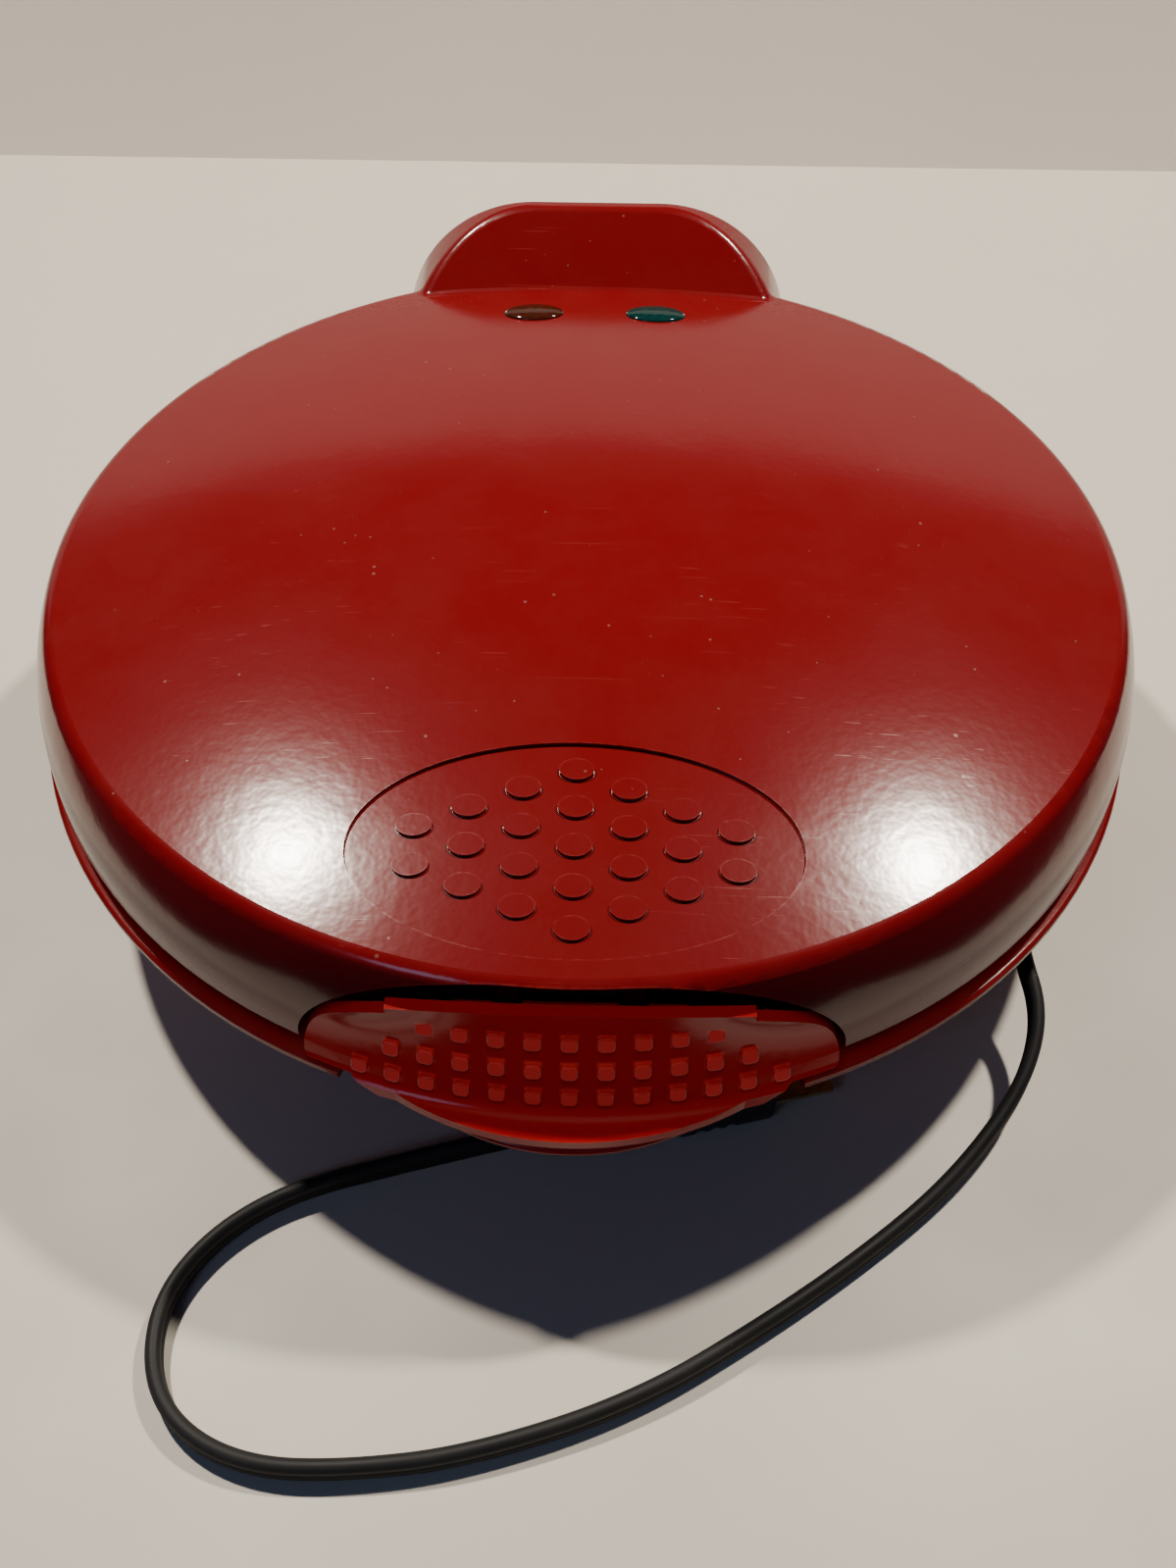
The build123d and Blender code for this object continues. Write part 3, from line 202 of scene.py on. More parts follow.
def sheet_mesh(name, corners):
    """A single flat face between its corners, which run round it."""
    mesh = bpy.data.meshes.new(name)
    mesh.from_pydata(corners, [], [tuple(range(len(corners)))])
    return mesh


# ---------------------------------------------------------------- node building
def node(tree, kind, values, **attributes):
    """A new node whose sockets take the given numbers, colours or links."""
    made = tree.nodes.new(kind)
    for key, value in attributes.items():
        setattr(made, key, value)
    for key, value in values.items():
        if isinstance(value, bpy.types.NodeSocket):
            tree.links.new(value, made.inputs[key])
        else:
            made.inputs[key].default_value = value
    return made


def maths(tree, operation, *values, clamp=False):
    """The result of a Math node."""
    given = dict(enumerate(values))
    made = node(tree, "ShaderNodeMath", given, operation=operation, use_clamp=clamp)
    return made.outputs[0]


def remap(tree, value, low, high, start=0.0, end=1.0):
    """Maps low..high onto start..end, held at both ends."""
    given = {0: value, 1: low, 2: high, 3: start, 4: end}
    return node(tree, "ShaderNodeMapRange", given).outputs[0]


def noise(tree, place, scale, detail, rough=0.5):
    """The value of a noise texture."""
    given = {"Vector": place, "Scale": scale, "Detail": detail, "Roughness": rough}
    return node(tree, "ShaderNodeTexNoise", given).outputs[0]


def stretched(tree, place, turn, scale):
    """The place turned and stretched by a Mapping node."""
    given = {"Vector": place, "Rotation": turn, "Scale": scale}
    return node(tree, "ShaderNodeMapping", given).outputs[0]


def new_group(name, inputs, outputs):
    """A shader node group with number inputs and outputs, and its two end nodes."""
    tree = bpy.data.node_groups.new(name, "ShaderNodeTree")
    for label, default in inputs.items():
        made = tree.interface.new_socket(name=label, in_out="INPUT", socket_type="NodeSocketFloat")
        made.default_value = default
    for label in outputs:
        tree.interface.new_socket(name=label, in_out="OUTPUT", socket_type="NodeSocketFloat")
    return tree, tree.nodes.new("NodeGroupInput"), tree.nodes.new("NodeGroupOutput")


def own_place(tree):
    """Object coordinates of the piece itself."""
    return tree.nodes.new("ShaderNodeTexCoord").outputs["Object"]


def orange_peel_group():
    """Gentle waves of a polished moulding: fine noise and 1.6 times a wider one, times a depth."""
    tree, given, result = new_group("orange_peel", {"Scale": 400.0, "Depth": 0.01}, ["Height"])
    place = own_place(tree)
    fine = noise(tree, place, given.outputs["Scale"], 1.0)
    wide_scale = maths(tree, "MULTIPLY", given.outputs["Scale"], 0.22)
    wide = noise(tree, place, wide_scale, 1.0)
    waves = maths(tree, "ADD", fine, maths(tree, "MULTIPLY", wide, 1.6))
    height = maths(tree, "MULTIPLY", waves, given.outputs["Depth"])
    tree.links.new(height, result.inputs["Height"])
    return tree


def scratches_group():
    """Thin marks in patches: noise stretched in three directions, where it passes a limit."""
    inputs = {"Scale": 900.0, "Amount": 0.5}
    tree, given, result = new_group("fine_scratches", inputs, ["Mask"])
    place = own_place(tree)
    marks = None
    for turn, along in ((0.35, 0.012), (1.45, 0.02), (2.5, 0.009)):
        flat = stretched(tree, place, (0.0, 0.0, turn), (along, 1.0, 1.0))
        streak = noise(tree, flat, given.outputs["Scale"], 1.0)
        thin = remap(tree, streak, 0.735, 0.79)
        marks = thin if marks is None else maths(tree, "MAXIMUM", marks, thin)
    patches = remap(tree, noise(tree, place, 22.0, 2.0), 0.42, 0.62)
    mask = maths(tree, "MULTIPLY", maths(tree, "MULTIPLY", marks, patches), given.outputs["Amount"])
    tree.links.new(mask, result.inputs["Mask"])
    return tree


def dust_group():
    """Settled dust: round specks near the points of a cell pattern, and a soft uneven film.

    Both thin out as the surface turns away from facing upward.
    """
    inputs = {"Scale": 260.0, "Specks": 0.5, "Film": 0.1}
    tree, given, result = new_group("settled_dust", inputs, ["Mask"])
    place = own_place(tree)
    cells = node(tree, "ShaderNodeTexVoronoi", {"Vector": place, "Scale": given.outputs["Scale"]})
    size = remap(tree, noise(tree, place, 190.0, 1.0), 0.45, 0.8, 0.0, 0.16)
    speck = remap(tree, maths(tree, "SUBTRACT", size, cells.outputs["Distance"]), 0.0, 0.03)
    film = remap(tree, noise(tree, place, 38.0, 5.0, 0.65), 0.40, 0.75)
    facing = tree.nodes.new("ShaderNodeNewGeometry").outputs["Normal"]
    own = node(tree, "ShaderNodeVectorTransform", {0: facing}, vector_type="NORMAL",
               convert_from="WORLD", convert_to="OBJECT")
    normal = node(tree, "ShaderNodeSeparateXYZ", {0: own.outputs[0]})
    upward = remap(tree, normal.outputs["Z"], 0.2, 0.95, 0.15, 1.0)
    both = maths(
        tree, "ADD",
        maths(tree, "MULTIPLY", speck, given.outputs["Specks"]),
        maths(tree, "MULTIPLY", film, given.outputs["Film"]),
    )
    tree.links.new(maths(tree, "MULTIPLY", both, upward, clamp=True), result.inputs["Mask"])
    return tree


def edge_wear_group():
    """Worn edges: where the normal rounded over a radius turns away from the true one."""
    inputs = {"Radius": 0.0006, "Amount": 0.5}
    tree, given, result = new_group("edge_wear", inputs, ["Mask"])
    bevel = node(tree, "ShaderNodeBevel", {"Radius": given.outputs["Radius"]}, samples=4)
    true = tree.nodes.new("ShaderNodeNewGeometry").outputs["Normal"]
    normals = {0: bevel.outputs[0], 1: true}
    same = node(tree, "ShaderNodeVectorMath", normals, operation="DOT_PRODUCT")
    turned_away = remap(tree, same.outputs["Value"], 0.985, 0.90)
    broken = remap(tree, noise(tree, own_place(tree), 420.0, 3.0), 0.35, 0.65)
    worn = maths(tree, "MULTIPLY", turned_away, broken)
    mask = maths(tree, "MULTIPLY", worn, given.outputs["Amount"])
    tree.links.new(mask, result.inputs["Mask"])
    return tree


def grain_group():
    """Fine grain of a blasted or spark-eroded surface, as height and as a tone from 0 to 1."""
    inputs = {"Scale": 1500.0, "Depth": 0.02}
    tree, given, result = new_group("fine_grain", inputs, ["Height", "Tone"])
    place = own_place(tree)
    fine = noise(tree, place, given.outputs["Scale"], 3.0, 0.6)
    height = maths(tree, "MULTIPLY", fine, given.outputs["Depth"])
    tree.links.new(height, result.inputs["Height"])
    tree.links.new(remap(tree, fine, 0.3, 0.7), result.inputs["Tone"])
    return tree


def drift_group():
    """Slow change of tone over a piece, from 0 to 1."""
    tree, given, result = new_group("slow_drift", {"Scale": 14.0}, ["Tone"])
    slow = noise(tree, own_place(tree), given.outputs["Scale"], 3.0, 0.55)
    tree.links.new(remap(tree, slow, 0.3, 0.7), result.inputs["Tone"])
    return tree


GROUP_MAKERS = (
    orange_peel_group, scratches_group, dust_group, edge_wear_group, grain_group, drift_group
)


class Finish:
    """A material being made: its shader, and the nodes that feed it."""

    def __init__(self, name, colour, **constants):
        self.material = bpy.data.materials.new(name)
        self.material.use_nodes = True
        self.tree = self.material.node_tree
        self.shader = self.tree.nodes["Principled BSDF"]
        self.colour = (*colour, 1.0)
        self.shader.inputs["Base Color"].default_value = self.colour
        for label, value in constants.items():
            socket = label.replace("_", " ").title().replace("Ior", "IOR")
            self.shader.inputs[socket].default_value = value

    def group(self, name, output, **values):
        """One output of a shared group with this finish's own values."""
        given = {label.title(): value for label, value in values.items()}
        made = node(self.tree, "ShaderNodeGroup", given, node_tree=bpy.data.node_groups[name])
        return made.outputs[output]

    def tint(self, mask, colour, share=None):
        """Mixes another colour over the present one where the mask is, or a share of it."""
        if share is not None:
            mask = maths(self.tree, "MULTIPLY", mask, share)
        given = {0: mask, 6: self.colour, 7: (*colour, 1.0)}
        mixed = node(self.tree, "ShaderNodeMix", given, data_type="RGBA").outputs[2]
        self.tree.links.new(mixed, self.shader.inputs["Base Color"])
        self.colour = mixed

    def rough(self, base, *masks):
        """Roughness: a base value, and the sum of each mask times what it adds."""
        total = None
        for mask, gain in masks:
            part = maths(self.tree, "MULTIPLY", mask, gain)
            total = part if total is None else maths(self.tree, "ADD", total, part)
        result = maths(self.tree, "ADD", total, base, clamp=True)
        self.tree.links.new(result, self.shader.inputs["Roughness"])

    def bump(self, *heights):
        """Bump from the sum of heights in millimetres."""
        total = heights[0]
        for height in heights[1:]:
            total = maths(self.tree, "ADD", total, height)
        made = node(self.tree, "ShaderNodeBump", {"Height": total, "Distance": MM, "Strength": 1.0})
        self.tree.links.new(made.outputs[0], self.shader.inputs["Normal"])


def dress(finish, *names):
    """Gives CAD nodes a finish."""
    for name in names:
        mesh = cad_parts[name].data
        mesh.materials.clear()
        mesh.materials.append(finish.material)


# ---------------------------------------------------------------- camera and stage
class COOKER_OT_camera(bpy.types.Operator):
    """Adds the camera"""

    bl_idname = "cooker.camera"
    bl_label = "Camera"

    def execute(self, context):
        values = settings().camera
        down, turn, roll = values.down, values.turn, values.roll
        ahead = Vector(
            (math.sin(turn) * math.cos(down), math.cos(turn) * math.cos(down), -math.sin(down))
        )
        right = Vector((math.cos(turn), -math.sin(turn), 0.0))
        above = right.cross(ahead)
        across = math.cos(roll) * right + math.sin(roll) * above
        upward = -math.sin(roll) * right + math.cos(roll) * above
        data = bpy.data.cameras.new("Camera")
        data.lens = values.lens
        data.clip_start, data.clip_end = 0.02, 20.0
        camera = bpy.data.objects.new("Camera", data)
        context.scene.collection.objects.link(camera)
        turned = Matrix((across, upward, -ahead)).transposed().to_4x4()
        camera.matrix_world = Matrix.Translation(Vector(values.place)) @ turned
        context.scene.camera = camera
        return {"FINISHED"}


def stage_finish(name, colour, scale, glow):
    """A pale painted finish with faint stains, clear when seen from behind."""
    finish = Finish(name, colour)
    stains = finish.group("slow_drift", "Tone", scale=scale)
    finish.tint(stains, tuple(part * 0.72 for part in colour), share=0.16)
    finish.rough(0.42, (stains, 0.16))
    finish.bump(finish.group("orange_peel", "Height", scale=90.0, depth=0.05))
    finish.shader.inputs["Emission Color"].default_value = (*colour, 1)
    finish.shader.inputs["Emission Strength"].default_value = glow
    tree = finish.tree
    behind = tree.nodes.new("ShaderNodeNewGeometry").outputs["Backfacing"]
    clear = tree.nodes.new("ShaderNodeBsdfTransparent").outputs[0]
    both = node(tree, "ShaderNodeMixShader", {0: behind, 1: finish.shader.outputs[0], 2: clear})
    tree.links.new(both.outputs[0], tree.nodes["Material Output"].inputs["Surface"])
    return finish


NOSE_FLARE, NOSE_END = 0.01, -0.150  # how much wider the table's nose is where it ends, and where
WAIST_PLACE = -0.02  # where the table's waist lies


class COOKER_OT_stage(bpy.types.Operator):
    """Adds the table, the backdrop and the lights"""

    bl_idname = "cooker.stage"
    bl_label = "Stage"

    def execute(self, context):
        values = settings().stage
        side, front, rear, height = values.side, values.front, values.rear, values.height
        half = (
            (values.nose, front), (values.nose + NOSE_FLARE, NOSE_END),
            (values.waist, WAIST_PLACE), (side, rear),
        )
        table = [(x, y, 0) for x, y in half] + [(-x, y, 0) for x, y in reversed(half)]
        wall = [(x, rear, 0) for x in (-side, side)] + [(x, rear, height) for x in (side, -side)]
        sheets = (
            ("table", table, values.table, 9.0, 0.0),
            ("backdrop", wall, values.backdrop, 6.0, values.glow),
        )
        for name, corners, colour, scale, glow in sheets:
            piece = put_in_scene(name, sheet_mesh(name, corners))
            piece.data.materials.append(stage_finish(name, colour, scale, glow).material)
        world = bpy.data.worlds.new("Room")
        world.use_nodes = True
        background = world.node_tree.nodes["Background"]
        background.inputs["Color"].default_value = (*values.sky_colour, 1)
        background.inputs["Strength"].default_value = values.sky
        context.scene.world = world
        size, warm = values.lamp_size, values.lamp_colour
        lamps = (  # name, place, target, share of the lamp power, diameter, colour
            ("lamp_left", (-0.403, 0.279, 0.953), (-0.063, -0.106, 0.095), 1.0, size, warm),
            ("lamp_right", (0.439, 0.288, 0.940), (0.077, -0.104, 0.094), 1.0, size, warm),
            ("fill", (-0.45, -0.80, 0.75), (0.0, -0.1, 0.06), 0.07, 0.30, values.sky_colour),
            ("card", (0.0, -0.42, 0.80), (0.0, -0.15, 0.06), 0.28, 0.50, warm),
        )
        for name, place, target, share, diameter, colour in lamps:
            data = bpy.data.lights.new(name, "AREA")
            data.shape = "DISK"
            data.size, data.energy = diameter, share * values.lamp_power
            data.color = colour
            lamp = bpy.data.objects.new(name, data)
            context.scene.collection.objects.link(lamp)
            lamp.location = place
            aim = Vector(target) - Vector(place)
            lamp.rotation_euler = aim.to_track_quat("-Z", "Y").to_euler()
        front_pieces = bpy.data.collections.new("front_pieces")
        for name in ("latch_handle", "base_shell"):
            front_pieces.objects.link(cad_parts[name])
        card = bpy.data.objects["card"]  # lights only the front pieces, and leaves no glare
        card.light_linking.receiver_collection = front_pieces
        card.visible_glossy = False
        return {"FINISHED"}


# ---------------------------------------------------------------- cord and plug
# Control points of the cord's line in millimetres, measured from the body's centre line.
CORD_ROUTE = [
    (86.0, 136.0, 24.0),
    (104.0, 136.0, 24.0),
    (120.0, 119.0, 24.5),
    (132.0, 97.0, 25.0),
    (138.5, 70.0, 25.5),
    (140.5, 41.0, 26.0),
    (139.0, 12.0, 26.0),
    (134.5, -16.0, 26.0),
    (128.5, -42.0, 25.5),
    (122.5, -66.0, 25.0),
    (120.5, -86.0, 24.0),
    (123.5, -101.5, 20.5),
    (120.0, -115.5, 15.5),
    (111.0, -129.5, 10.0),
    (94.5, -147.0, 5.0),
    (74.0, -163.5, 3.7),
    (50.0, -180.5, 3.6),
    (17.0, -200.8, 3.6),
    (-21.0, -213.7, 3.6),
    (-49.0, -217.5, 3.6),
    (-71.0, -217.3, 3.6),
    (-88.0, -210.0, 3.6),
    (-97.5, -197.0, 3.6),
    (-98.5, -179.0, 3.6),
    (-88.5, -162.5, 3.6),
    (-71.0, -150.5, 3.8),
    (-46.0, -143.6, 5.5),
    (-14.5, -137.8, 11.5),
    (11.4, -130.9, 11.5),
]
PLUG_AHEAD = (25.9, 6.9)  # the way that the plug points, across the table
FRONT_EDGE, FRONT_LOSS = 0.0016, 0.16  # depth of the plug's rounded front edge, share it loses
SHOULDER_LEAD, SHOULDER = 0.004, 0.0075  # how far before the body the sleeve widens, how long
GROOVE_START, GROOVE, GROOVE_DEPTH = 0.006, 0.0042, 0.0007  # the first one's start, length, depth
RIB_STOP, RIB, RIB_DEPTH = 0.003, 0.0027, 0.00025  # ribs' end before the body, pitch and depth
SLEEVE_THIN, SLEEVE_THIN_GROWTH = 0.0040, 0.0012  # half thickness at the cord, and its growth
SLEEVE_WIDE, SLEEVE_WIDE_GROWTH = 0.0041, 0.0014  # half width at the cord, and its growth


def route_line(points):
    """The smooth line of a second-degree spline with these control points, as an array."""
    curve = bpy.data.curves.new("route", "CURVE")
    curve.dimensions = "3D"
    curve.resolution_u = 12
    spline = curve.splines.new("NURBS")
    spline.points.add(len(points) - 1)
    for knot, (x, y, z) in zip(spline.points, points):
        knot.co = (x * MM, (y + SHIFT) * MM, z * MM, 1.0)
    spline.order_u = 3
    spline.use_endpoint_u = True
    holder = put_in_scene("route", curve)
    bpy.context.view_layer.update()
    mesh = bpy.data.meshes.new_from_object(holder)
    line = np.empty(len(mesh.vertices) * 3)
    mesh.vertices.foreach_get("co", line)
    bpy.data.objects.remove(holder)
    bpy.data.curves.remove(curve)
    bpy.data.meshes.remove(mesh)
    return line.reshape(-1, 3)


def cord_points(line, width, thickness):
    """The flat cord: along the line, a section of two joined rounds standing on edge.

    Round the section, the height is half the width times the sine of the turn. The depth is that
    of a round of half the thickness, whose middle lies half of width less thickness up or down:
    the square root of its radius squared less the height above or below that middle squared.
    """
    along = np.gradient(line, axis=0)
    along /= np.linalg.norm(along, axis=1, keepdims=True)
    across = np.cross(along, (0.0, 0.0, 1.0))
    across /= np.linalg.norm(across, axis=1, keepdims=True)
    upward = np.cross(across, along)
    turn = np.linspace(0, 2 * np.pi, 48, endpoint=False)
    high = np.sin(turn) * width / 2
    off_middle = np.abs(high) - (width - thickness) / 2
    squared = np.clip((thickness / 2) ** 2 - off_middle**2, 1e-12, None)
    wide = np.sign(np.cos(turn)) * np.sqrt(squared)
    aside, above = wide[None, :, None], high[None, :, None]
    return line[:, None] + across[:, None] * aside + upward[:, None] * above


def plug_points(values, start, ahead):
    """The moulded plug: a rounded-square section swept along its axis.

    The section is a superellipse, |y/a|^n + |z/b|^n = 1. Along the axis the half sizes a and b
    grow from the sleeve to the body by a smooth step, drop in three finger grooves across the
    body, and close in a rounded front edge. The power n goes from 2, a round, to 6, a box.
    """
    total = values.sleeve + values.body
    edge = total - FRONT_EDGE
    x = np.concatenate([np.linspace(0, edge, 90), total - FRONT_EDGE * np.linspace(0.9, 0, 8) ** 2])
    step = np.clip((x - values.sleeve + SHOULDER_LEAD) / SHOULDER, 0, 1)
    step = step * step * (3 - 2 * step)
    closing = np.clip((x - edge) / FRONT_EDGE, 0, 1)
    rounding = 1 - FRONT_LOSS * (1 - np.sqrt(np.clip(1 - closing**2, 0, 1)))
    phase = (x - values.sleeve - GROOVE_START) / GROOVE
    grips = np.where((phase > 0) & (phase < 3), np.sin(np.pi * phase) ** 2, 0) * GROOVE_DEPTH
    ribs = np.where(x < values.sleeve - RIB_STOP, np.cos(2 * np.pi * x / RIB) * RIB_DEPTH, 0)
    thin = SLEEVE_THIN + SLEEVE_THIN_GROWTH * x / total
    wide = SLEEVE_WIDE + SLEEVE_WIDE_GROWTH * x / total
    half_y = thin * (1 - step) + values.thickness / 2 * step
    half_z = wide * (1 - step) + values.width / 2 * step
    half_y = (half_y - grips + ribs) * rounding
    half_z = (half_z + ribs) * rounding
    power = 2 / (2 + 4 * step)
    turn = np.linspace(0, 2 * np.pi, 64, endpoint=False)
    cosine, sine = np.cos(turn)[None], np.sin(turn)[None]
    y = half_y[:, None] * np.sign(cosine) * np.abs(cosine) ** power[:, None]
    z = half_z[:, None] * np.sign(sine) * np.abs(sine) ** power[:, None]
    forward = np.array((*ahead, 0.0)) / np.hypot(*ahead)
    sideways = np.array((forward[1], -forward[0], 0.0))
    upward = np.array((0.0, 0.0, 1.0))
    return start + x[:, None, None] * forward + y[..., None] * sideways + z[..., None] * upward


class COOKER_OT_cord(bpy.types.Operator):
    """Adds the flat cord along its route, with its plug"""

    bl_idname = "cooker.cord"
    bl_label = "Cord and plug"

    def execute(self, context):
        values = settings().cord
        line = route_line(CORD_ROUTE)
        points = cord_points(line, values.width, values.thickness)
        cord = put_in_scene("cord", grid_mesh("cord", points))
        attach(cord, "base")
        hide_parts("power_cord")
        end = (np.array(CORD_ROUTE[-1]) + (0, SHIFT, 0)) * MM
        points = plug_points(settings().plug, end, PLUG_AHEAD)
        plug = put_in_scene("plug", grid_mesh("plug", points))
        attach(plug, "base")
        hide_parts("plug_body")
        return {"FINISHED"}


# ---------------------------------------------------------------- finishes
NUB_PITCH = 0.0081  # distance between two nubs of a row
NUB_TOP_ROW, NUB_ROW_GAP = 0.0758, 0.0072  # height of the top row, and distance between rows
NUB_TOP_COUNT = 4.5  # steps from the middle to just past the top row's last nub
NUB_EDGE = (2.3 * MM, 1.6 * MM)  # from a nub's middle, where its colour starts and where it is full
NUB_ROWS = 1.45  # rows from the middle one to just past the outer ones


def off_whole(tree, value, unit):
    """How far a value is from the nearest whole number, times a unit."""
    off = maths(tree, "SUBTRACT", value, maths(tree, "ROUND", value))
    return maths(tree, "MULTIPLY", maths(tree, "ABSOLUTE", off), unit)


def red_finish(name, red, film, ior=1.44):
    """Polished red moulding with orange peel, hairline scratches, worn edges and dust."""
    colours = settings().finish
    finish = Finish(name, red, ior=ior)
    drift = finish.group("slow_drift", "Tone", scale=11.0)
    scratches = finish.group("fine_scratches", "Mask", scale=1300.0, amount=0.28)
    dust = finish.group("settled_dust", "Mask", scale=230.0, specks=0.16, film=film)
    wear = finish.group("edge_wear", "Mask", radius=0.0007, amount=0.35)
    finish.tint(drift, tuple(0.88 * part for part in red), share=0.3)
    finish.tint(maths(finish.tree, "MAXIMUM", scratches, wear), colours.worn)
    finish.tint(dust, colours.dust)
    finish.rough(0.155, (scratches, 0.30), (dust, 0.5), (wear, 0.3), (drift, 0.02))
    peel = finish.group("orange_peel", "Height", scale=420.0, depth=0.026)
    finish.bump(peel, maths(finish.tree, "MULTIPLY", scratches, -0.004))
    return finish


def nub_mask(tree):
    """1 on the handle's nubs: near a whole number of steps round, and near a row's height.

    The angle round the lid's axis times the radius, over the pitch, is the count of steps. Each
    row reaches one step farther than the one above.
    """
    across, depth, height = node(tree, "ShaderNodeSeparateXYZ", {0: own_place(tree)}).outputs
    ahead = maths(tree, "SUBTRACT", SHIFT * MM, depth)
    angle = maths(tree, "ARCTAN2", across, ahead)
    squares = [maths(tree, "POWER", part, 2.0) for part in (across, ahead)]
    radius = maths(tree, "SQRT", maths(tree, "ADD", *squares))
    steps = maths(tree, "DIVIDE", maths(tree, "MULTIPLY", angle, radius), NUB_PITCH)
    rows = maths(tree, "DIVIDE", maths(tree, "SUBTRACT", NUB_TOP_ROW, height), NUB_ROW_GAP)
    aside = off_whole(tree, steps, NUB_PITCH)
    above = off_whole(tree, rows, NUB_ROW_GAP)
    near = remap(tree, maths(tree, "MAXIMUM", aside, above), *NUB_EDGE)
    last = maths(tree, "ADD", rows, NUB_TOP_COUNT)
    inside = maths(tree, "LESS_THAN", maths(tree, "ABSOLUTE", steps), last)
    off_middle_row = maths(tree, "ABSOLUTE", maths(tree, "SUBTRACT", rows, 1.0))
    in_rows = maths(tree, "LESS_THAN", off_middle_row, NUB_ROWS)
    return maths(tree, "MULTIPLY", near, maths(tree, "MULTIPLY", inside, in_rows))


class COOKER_OT_housing(bpy.types.Operator):
    """Finishes the red mouldings: lid, base and latch handle"""

    bl_idname = "cooker.housing"
    bl_label = "Housing"

    def execute(self, context):
        colours = settings().finish
        dress(red_finish("red_lid", colours.red, 0.008), "lid_shell")
        dress(red_finish("red_base", colours.red, 0.02), "base_shell")
        handle = red_finish("red_handle", colours.handle, 0.01, ior=1.36)
        # Painted highlight: the nubs are tinted lighter to stand for the light they catch out of
        # the shaded niche, as well as for finger wear.
        handle.tint(nub_mask(handle.tree), colours.lit_rubbed_nub)
        dress(handle, "latch_handle")
        return {"FINISHED"}


LENS_FLANGE = 1.16  # reach of the flange under the lid, over the reach of the lens
LENS_SIDE = (-0.0010, -0.0029)  # heights of the side's two lower rings
LENS_POLE = 0.001  # reach of the smallest ring, over the reach of the lens
LENS_LIFT = 0.0001  # how far the crown's rim stands above the lid


def lens_points(values, side):
    """One lens: a closed oval of rings, from the pole of its crown down to its foot.

    The first rings rise as crown times the square root of 1 less the square of the reach, a low
    ellipsoid. The next go straight down through the lid, and the last close the flange below.
    """
    reach = np.sin(np.linspace(LENS_POLE, np.pi / 2, 18))
    height = values.crown * np.sqrt(np.clip(1 - reach**2, 0, 1)) + LENS_LIFT
    reach = np.concatenate([reach, [1.0, 1.0, LENS_FLANGE, LENS_FLANGE, LENS_POLE]])
    height = np.concatenate([height, [*LENS_SIDE, LENS_SIDE[-1], -values.foot, -values.foot]])
    turn = np.linspace(0, 2 * np.pi, 72, endpoint=False)
    normal = np.array(values.facing) * (side, 1, 1)
    normal /= np.linalg.norm(normal)
    ahead = np.array((1.0, 0.0, -normal[0] / normal[2]))
    ahead /= np.linalg.norm(ahead)
    sideways = np.cross(normal, ahead)
    u = (reach[:, None] * values.across * np.cos(turn))[..., None]
    v = (reach[:, None] * values.deep * np.sin(turn))[..., None]
    middle = np.array(values.place) * (side, 1, 1)
    return middle + u * ahead + v * sideways + height[:, None, None] * normal


class COOKER_OT_lenses(bpy.types.Operator):
    """Adds the two lenses, and finishes them and the lamps under them"""

    bl_idname = "cooker.lenses"
    bl_label = "Lenses"

    def execute(self, context):
        colours = settings().finish
        for slot, node_name, side, colour in (
            ("amber_lens", "power_lens", -1, colours.amber),
            ("green_lens", "ready_lens", 1, colours.green),
        ):
            finish = Finish(slot, colour, ior=1.4)
            tree = finish.tree
            points = lens_points(settings().lens, side)
            name = slot + "_crown"
            piece = put_in_scene(name, grid_mesh(name, points))
            piece.data.materials.append(finish.material)
            piece.data.set_sharp_from_angle(angle=math.radians(40))
            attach(piece, "lid")
            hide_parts(node_name)
            given = {"Vector": own_place(tree), "Scale": 620.0}
            cells = node(tree, "ShaderNodeTexVoronoi", given, feature="SMOOTH_F1")
            prisms = cells.outputs["Distance"]
            # Painted glow: the lens colour is made lighter across its prism cells to stand for
            # light caught in the prisms; the lamps under the lenses are not lit.
            glow = remap(tree, prisms, 0.15, 0.75)
            finish.tint(glow, tuple(min(1, 2.2 * c) for c in colour), share=0.5)
            dust = finish.group("settled_dust", "Mask", scale=300.0, specks=0.2, film=0.008)
            finish.tint(dust, colours.dust)
            finish.rough(0.06, (dust, 0.5), (glow, 0.03))
            peel = finish.group("orange_peel", "Height", scale=330.0, depth=0.01)
            finish.bump(peel, maths(tree, "MULTIPLY", prisms, 0.03))
        glass = Finish("lamp_glass", (0.86, 0.80, 0.72), roughness=0.06, transmission_weight=0.75)
        tone = glass.group("slow_drift", "Tone", scale=180.0)
        glass.tint(tone, (0.75, 0.42, 0.22), share=0.4)
        dress(glass, "indicator_lamps")
        return {"FINISHED"}


